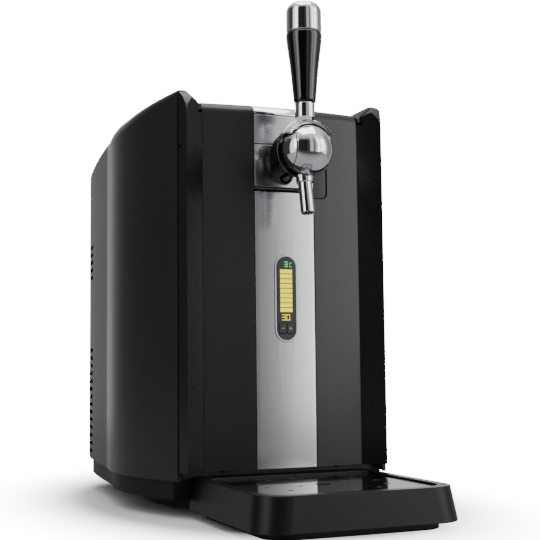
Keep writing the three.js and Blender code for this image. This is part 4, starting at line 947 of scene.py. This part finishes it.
class DISPENSER_OT_handle(Maker, bpy.types.Operator):
    """Handle: hub caps and saddle on the ball, neck, tapered grip and domed cap"""

    bl_idname = "dispenser.handle"
    bl_label = "Handle"

    grip_shares = (  # height and radius, in shares of the grip's own; it is widest near its top
        (0.0, 0.585), (0.012, 0.615), (0.05, 0.635), (0.15, 0.67), (0.3, 0.72), (0.45, 0.775), (0.6, 0.84),
        (0.75, 0.915), (0.87, 0.975), (0.94, 0.998), (0.975, 1.0), (0.99, 0.985), (1.0, 0.95),
    )
    cap_shares = ((0.0, 0.94), (0.02, 0.985), (0.06, 1.0), (0.66, 0.998))
    dome_start, dome_rise, dome_steps = 0.66, 0.34, 14  # where the dome begins, and how far it rises
    flat_radius, dome_reach = 0.4, 0.6  # the radius that the dome leaves flat, and its own
    flat_shares = ((0.997, 0.36), (0.9995, 0.15))

    def make(self, sizes):
        middle = span("lever_grip")[2]
        centre, steps = (middle.x, middle.y), sizes.round_steps
        for side, node in ((-1, "left_hub_cap"), (1, "right_hub_cap")):
            self.hub(side, node, sizes)
        self.saddle(steps)
        self.neck(centre, steps)
        self.bar("lever_grip", "handle_grip", self.grip_shares, centre, steps, "gloss", "gloss_black")
        self.bar("lever_cap", "handle_cap", self.domed(), centre, steps, "chrome", "chrome")

    def hub(self, side, node, sizes):
        """The side of the ball that turns with the handle."""
        inner = min(corner.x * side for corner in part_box(node)) * side
        cuts = [(tap_centre + Vector((inner, 0, 0)), (-side, 0, 0), True)]
        piece = outwards(ball_part(node + "_shell", sizes.ball, cuts, sizes.round_steps))
        place(rounded(piece, 0.4 * MM, 3, 40), "chrome", "lever", (node,), "chrome", 40)

    def saddle(self, steps):
        """Strap over the ball, a spherical band that carries the neck."""
        low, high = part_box("lever_saddle")
        cuts = [
            (Vector((0, low.y, tap_centre.z)), (0, -1, 0), False),
            (Vector((0, high.y, tap_centre.z)), (0, 1, 0), False),
            (Vector((0, tap_centre.y, low.z)), (0, 0, -1), False),
        ]
        piece = ball_part("lever_strap", high.z - tap_centre.z, cuts, steps)
        ball_strap(piece, (0.7 * MM, 3, 50), "lever", "lever_saddle")

    def neck(self, centre, steps):
        low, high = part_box("lever_neck")
        radius = (high.x - low.x) / 2
        profile = [
            (radius * 0.98, low.z + 4 * MM), (radius, low.z + 6 * MM), (radius * 0.97, high.z - 4 * MM),
            (radius * 0.99, high.z - 3.2 * MM), (radius * 0.99, high.z - 0.9 * MM), (radius * 0.93, high.z),
        ]
        place(turned("handle_neck", profile, centre, steps), "chrome", "lever", ("lever_neck",), "chrome", 40)

    def domed(self):
        """The cap's sides, its dome and the flat in its middle."""
        dome = []
        for step in range(1, self.dome_steps):
            turn = step * math.pi / 2 / self.dome_steps
            up = self.dome_start + self.dome_rise * math.sin(turn)
            dome.append((up, self.flat_radius + self.dome_reach * math.cos(turn)))
        return (*self.cap_shares, *dome, *self.flat_shares)

    def bar(self, node, name, shares, centre, steps, finish, slot):
        """A turned piece of the handle, from shares of its solid's height and radius."""
        low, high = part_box(node)
        across, height = (high.x - low.x) / 2, high.z - low.z
        profile = [(across * out, low.z + height * up) for up, out in shares]
        place(turned(name, profile, centre, steps), finish, "lever", (node,), slot, 50)


class DISPENSER_OT_tray(Maker, bpy.types.Operator):
    """Drip tray with its rim, and the lift-out grid with its drain holes"""

    bl_idname = "dispenser.tray"
    bl_label = "Drip tray and grid"

    drain, hole, overrun = 13, 4.6, 2 * MM  # diameters, and how far the bores reach past the plate
    rings = ((0.5, 25.2 * MM, 0.3), (1, 52.1 * MM, 0.62))  # share of the holes, radius and turn
    front_radius, rear_radius = 20.5 * MM, 6 * MM

    def make(self, sizes):
        dressed("tray", "tray", "drip_tray", share=1.8, angle=30)
        low, high, middle = span("drip_grid")
        plate = self.plate(low, high, middle)
        middle.x = 0
        tools = [self.bore(self.drain, middle, low.z, high.z, 48)]
        for share, reach, turn in self.rings:
            count = int(sizes.grid_holes * share)
            for number in range(count):
                angle = 2 * math.pi * number / count + turn
                spot = middle + Vector((math.cos(angle), math.sin(angle), 0)) * reach
                tools.append(self.bore(self.hole, spot, low.z, high.z, 32))
        minus(plate, united("tools", tools))
        rounded(plate, 0.4 * MM, 3, 40)
        place(plate, "grid", "grid", ("drip_grid",), "gloss_black", 40)
        apply_modifier(plate, "WEIGHTED_NORMAL", keep_sharp=True)

    def bore(self, diameter, spot, bottom, top, steps):
        start, end = (spot.x, spot.y, bottom - self.overrun), (spot.x, spot.y, top + self.overrun)
        return rod(diameter, start, end, steps)

    def plate(self, low, high, middle):
        """A sheet with wide corners at the front and tight ones at the back, then given its thickness."""
        fresh()
        bpy.ops.mesh.primitive_plane_add(size=1, location=(middle.x, middle.y, high.z))
        piece = added("drain_plate")
        piece.scale = (high.x - low.x, high.y - low.y, 1)
        settle(piece)
        for y, radius in ((low.y, self.front_radius), (high.y, self.rear_radius)):
            editing(piece)
            bpy.ops.mesh.select_all(action="DESELECT")
            fresh()
            for vertex in piece.data.vertices:
                vertex.select = abs(vertex.co.y - y) < 0.1 * MM
            chosen(piece)
            bpy.ops.object.mode_set(mode="EDIT")
            bpy.ops.mesh.bevel(offset=radius, segments=14, affect="VERTICES", profile=0.5)
            fresh()
        apply_modifier(piece, "SOLIDIFY", thickness=high.z - low.z, offset=-1)
        return outwards(piece)


class DISPENSER_OT_chamber(Maker, bpy.types.Operator):
    """Keg chamber: liner, insulation, front frame with its screws, air nozzle, sensor and the floor's ribs"""

    bl_idname = "dispenser.chamber"
    bl_label = "Keg chamber"

    screw_x, screw_sink = 55 * MM, 0.3 * MM
    screw_rise, screw_drop = 7 * MM, 14 * MM  # from the frame's lower and upper edge
    rib_count, rib_start, rib_pitch = 5, 22 * MM, 26 * MM
    rib_half_width, floor_wall = 60 * MM, 2.5 * MM

    def make(self, sizes):
        dressed("liner", "base", "keg_chamber")
        surfaced("foam", "insulation_jacket")
        dressed("shell", "base", "chamber_frame", share=0.6)
        dressed("steel", "base", "air_nozzle", "temperature_sensor", share=0.6)
        self.keg_ribs()
        low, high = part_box("chamber_frame")
        for x in (-self.screw_x, self.screw_x):
            for z in (low.z + self.screw_rise, high.z - self.screw_drop):
                name = f"frame_screw_{side_name(x)}_{level_name(z)}"
                screw(name, (x, low.y + self.screw_sink, z), (0, -1, 0), 5)

    def keg_ribs(self):
        """Low ribs across the chamber's floor."""
        low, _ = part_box("keg_chamber")
        floor, reach, y = low.z + self.floor_wall, self.rib_half_width, low.y + self.rib_start
        first = (-reach, y, floor - 0.5 * MM), (reach, y + 4 * MM, floor + 1.6 * MM)
        ribs = row(self.rib_count, (0, self.rib_pitch, 0), *first, 1.2, 4)
        trim("chamber_floor_ribs", ribs, "liner", "base", "liner")


class DISPENSER_OT_cooling(Maker, bpy.types.Operator):
    """Cold plate, thermoelectric module, finned sink, fan frame and rotor"""

    bl_idname = "dispenser.cooling"
    bl_label = "Cooling unit"

    def make(self, sizes):
        dressed("aluminium", "base", "cold_plate")
        dressed("ceramic", "base", "thermoelectric_module", share=0.4)
        surfaced("aluminium", "heat_sink")
        dressed("fan", "base", "fan_frame", share=0.6)
        dressed("fan", "fan_rotor", "fan_rotor", share=0.4)


class DISPENSER_OT_electrics(Maker, bpy.types.Operator):
    """Power supply, control board, air pump and pressure hose"""

    bl_idname = "dispenser.electrics"
    bl_label = "Electrics and air"

    start, sink = 14 * MM, 0.3 * MM  # of the first fitting from the board's edge, and into the board
    can_count, can_pitch, can_height = 4, 16 * MM, 11 * MM
    chip_count, chip_pitch, chip_width, chip_height = 3, 24 * MM, 13 * MM, 2 * MM

    def make(self, sizes):
        dressed("supply", "base", "power_supply")
        dressed("board", "base", "control_board", share=0.3)
        dressed("steel", "base", "air_pump", share=0.8)
        dressed("hose", "base", "pressure_hose", share=0, smooth=60)
        self.board_parts()

    def board_parts(self):
        """Capacitors and chips that stand on the control board."""
        low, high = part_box("control_board")
        back, foot = high.y, high.y - self.sink
        cans = []
        for number in range(self.can_count):
            spot = Vector((low.x + self.start + number * self.can_pitch, foot, low.z + 16 * MM))
            cans.append(rod(8, spot, spot + Vector((0, self.can_height, 0)), 24, 0.6))
        trim("board_capacitors", cans, "aluminium", "base", "aluminium")
        x = low.x + self.start
        first = (x, foot, high.z - 24 * MM), (x + self.chip_width, back + self.chip_height, high.z - 12 * MM)
        chips = row(self.chip_count, (self.chip_pitch, 0, 0), *first, 0.3)
        trim("board_chips", chips, "plinth", "base", "plinth")


class DISPENSER_OT_rear_fittings(Maker, bpy.types.Operator):
    """Power inlet with its pins, and the rocker switch with its mark"""

    bl_idname = "dispenser.rear_fittings"
    bl_label = "Power inlet and switch"

    socket_x = 13.5 * MM  # the socket's middle from the inlet's edge
    pin_places = ((-6.5, -1.5), (0, 3.5), (6.5, -1.5))  # across and up from the socket's middle
    pin_half_width, pin_half_height = 0.7 * MM, 2 * MM
    mark_half, mark_span = 0.35 * MM, (3 * MM, 6.6 * MM)

    def make(self, sizes):
        dressed("plinth", "base", "power_inlet", share=0.5)
        dressed("gloss", "power_rocker", "power_rocker", share=0.8)
        low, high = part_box("power_inlet")
        front, back = low.y + 4 * MM, high.y - 2 * MM
        wide, tall = self.pin_half_width, self.pin_half_height
        pins = []
        for across, up in self.pin_places:
            x, z = low.x + self.socket_x + across * MM, (low.z + high.z) / 2 + up * MM
            pins.append(solid_box((x - wide, front, z - tall), (x + wide, back, z + tall), 0.4))
        trim("inlet_pins", pins, "brass", "base", "steel")
        _, high, middle = span("power_rocker")
        half, (bottom, top) = self.mark_half, self.mark_span
        mark_high = (middle.x + half, high.y + 0.05 * MM, middle.z + top)
        mark = solid_box((middle.x - half, high.y - 0.6 * MM, middle.z + bottom), mark_high, 0.1)
        trim("rocker_on_mark", [mark], "white_mark", "power_rocker", "silver")


# The stage: floor, soft light and the camera at the photographed angle


class DISPENSER_OT_stage(Maker, bpy.types.Operator):
    """Pale floor, soft studio lights and the camera"""

    bl_idname = "dispenser.stage"
    bl_label = "Stage"

    view_angles = (22.4, 5.08, -0.62)  # yaw, pitch and roll in degrees, fitted to the photographed edges
    view_x, view_distance, view_height = -0.3803, 0.8919, 0.1288  # the distance is from the door's face
    face_offset = 11 * MM  # from the front of the chamber's frame to the door's face
    sensor, lens = 36, 72.06
    floor_side = 2.6
    lit_middle, lit_reach = 0.02, (0.2, 0.33)  # ellipse of floor round the object that keeps its shadow
    room_light = 1.5
    tent_heights = (0.55, 0.85)  # where the walls give way to the tent above, as sines
    wall_stops = (  # bearing in degrees from straight behind the object, and brightness
        (-180, 1.0), (-174, 0.75), (-167, 0.3), (-150, 0.15), (-118, 0.03), (-100, 0.04), (-94, 0.9),
        (-72, 0.9), (-63, 0.02), (-22, 0.012), (-8, 0.05), (-3, 0.42), (6, 0.42), (11, 0.07), (16, 0.16),
        (23, 0.5), (29, 1.2), (34, 2.4), (40, 1.1), (50, 0.8), (68, 0.9), (80, 0.2), (100, 0.16),
        (135, 0.5), (180, 0.6),
    )
    softboxes = (  # name, place, aim, width, height and watts
        ("left_softbox", (-1.5, -0.7, 0.9), (0, 0, 0.25), 0.5, 1.2, 4),
        ("right_softbox", (1.3, -1.1, 0.7), (0, -0.05, 0.25), 0.5, 1.2, 4),
        ("top_softbox", (0, -0.2, 1.7), (0, 0, 0.2), 1.2, 1.2, 16),
        ("rear_softbox", (0.5, 1.5, 0.9), (0, 0, 0.25), 1.0, 0.8, 10),
    )

    def make(self, sizes):
        self.camera()
        self.floor()
        self.world()
        for softbox in self.softboxes:
            self.light(*softbox)

    def camera(self):
        """The photographed view: its place, direction and lens."""
        yaw, pitch, roll = (math.radians(angle) for angle in self.view_angles)
        ahead = Vector((math.sin(yaw) * math.cos(pitch), math.cos(yaw) * math.cos(pitch), math.sin(pitch)))
        right = Vector((math.cos(yaw), -math.sin(yaw), 0))
        up = right.cross(ahead)
        tilted_right = right * math.cos(roll) + up * math.sin(roll)
        tilted_up = up * math.cos(roll) - right * math.sin(roll)
        fresh()
        bpy.ops.object.camera_add()
        camera = added("photo_camera")
        camera.data.sensor_width = self.sensor
        camera.data.lens = self.lens
        turn = Matrix((tilted_right, tilted_up, -ahead)).transposed().to_4x4()
        door_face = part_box("chamber_frame")[0].y - self.face_offset
        spot = (self.view_x, door_face - self.view_distance, self.view_height)
        camera.matrix_world = Matrix.Translation(spot) @ turn
        bpy.context.scene.camera = camera

    def floor(self):
        """A pale floor that keeps the object's shadow and runs out into the white round it."""
        fresh()
        bpy.ops.mesh.primitive_plane_add(size=self.floor_side, location=(0, 0, 0))
        plane = added("studio_floor")
        r = Recipe("studio floor")
        clouds = r.noise(0.8, 2)
        seen, mirrored = r.node("ShaderNodeLightPath", outputs=("Is Camera Ray", "Is Glossy Ray"))
        base = r.mixed(clouds, (0.86, 0.86, 0.865), (0.9, 0.9, 0.9))
        # Painted reflection: in glossy reflections the floor is darkened to about a third near the object and
        # to near black far in front
        ahead = r.y.within(-0.95, -0.35, 1.0, 0.0)
        base = r.mixed(mirrored * (ahead * 0.3 + 0.68), base, (0.0, 0.0, 0.0))
        r.finish(base, 0.55 + clouds * 0.1)
        reach_x, reach_y = self.lit_reach
        across, along = r.x / reach_x, (r.y - self.lit_middle) / reach_y
        reach = (across * across + along * along) ** 0.5
        paper = r.node("ShaderNodeEmission", {"Strength": PAPER_LIGHT}, ("Emission",))[0]
        lit = Wire(r, r.shader.outputs["BSDF"])
        r.shows("Material Output", reach.within(0.7, 1.5) * seen, lit, paper)
        plane.data.materials.append(r.material)

    def world(self):
        """White to the camera; round the object, dark at the camera and bright beside and behind."""
        world = bpy.data.worlds.new("studio")
        bpy.context.scene.world = world
        sky = Nodes(world)
        _, x, y, z = sky.coordinates("Generated")
        bearing = x.combined("ARCTAN2", y * -1)
        circle = {"Value": bearing, "From Min": -math.pi, "From Max": math.pi}
        share = sky.node("ShaderNodeMapRange", circle)[0]
        walls = sky.node("ShaderNodeValToRGB", {0: share}, ("Color",))[0]
        ramp = walls.socket.node.color_ramp.elements
        while len(ramp) < len(self.wall_stops):
            ramp.new(0.5)
        for element, (degrees, light) in zip(ramp, self.wall_stops):
            element.position = (degrees + 180) / 360
            element.color = (light, light, light * 1.01, 1)
        low, high = self.tent_heights
        height = sky.node("ShaderNodeMapRange", {"Value": z, "From Min": low, "From Max": high})[0]
        room = sky.tree.nodes["Background"]
        sky.feed(room.inputs["Color"], sky.mixed(height, walls, (0.6, 0.6, 0.61)))
        sky.feed(room.inputs["Strength"], self.room_light)
        paper = sky.node("ShaderNodeBackground", {"Strength": PAPER_LIGHT}, ("Background",))[0]
        seen = sky.node("ShaderNodeLightPath", outputs=("Is Camera Ray",))[0]
        sky.shows("World Output", seen, Wire(sky, room.outputs[0]), paper)

    def light(self, name, spot, aim, width, height, power):
        """A softbox; its edges draw a long reflection."""
        fresh()
        bpy.ops.object.light_add(type="AREA", location=spot)
        light = added(name)
        light.data.shape = "RECTANGLE"
        light.data.size = width
        light.data.size_y = height
        light.data.energy = power
        light.rotation_euler = (Vector(aim) - Vector(spot)).to_track_quat("-Z", "Y").to_euler()


OPERATORS = tuple(Maker.__subclasses__())  # in the order of their classes above


class DISPENSER_PT_panel(bpy.types.Panel):
    """Lists the sizes, the colours and the pieces"""

    bl_idname = "DISPENSER_PT_panel"
    bl_label = "Mini Keg Dispenser"
    bl_space_type = "VIEW_3D"
    bl_region_type = "UI"
    bl_category = "Dispenser"

    def draw(self, context):
        for group in (context.scene.dispenser_sizes, context.scene.dispenser_colours):
            for name in group.__annotations__:
                self.layout.prop(group, name)
        for operator in OPERATORS:
            self.layout.operator(operator.bl_idname)


CLASSES = (DispenserSizes, DispenserColours, *OPERATORS, DISPENSER_PT_panel)


def register():
    for cls in CLASSES:
        bpy.utils.register_class(cls)
    bpy.types.Scene.dispenser_sizes = PointerProperty(type=DispenserSizes)
    bpy.types.Scene.dispenser_colours = PointerProperty(type=DispenserColours)


def unregister():
    del bpy.types.Scene.dispenser_colours
    del bpy.types.Scene.dispenser_sizes
    for cls in reversed(CLASSES):
        bpy.utils.unregister_class(cls)


def main():
    register()
    make_finishes(bpy.context.scene.dispenser_colours)
    for operator in OPERATORS:
        group, name = operator.bl_idname.split(".")
        getattr(getattr(bpy.ops, group), name)()


if __name__ == "__main__":
    main()
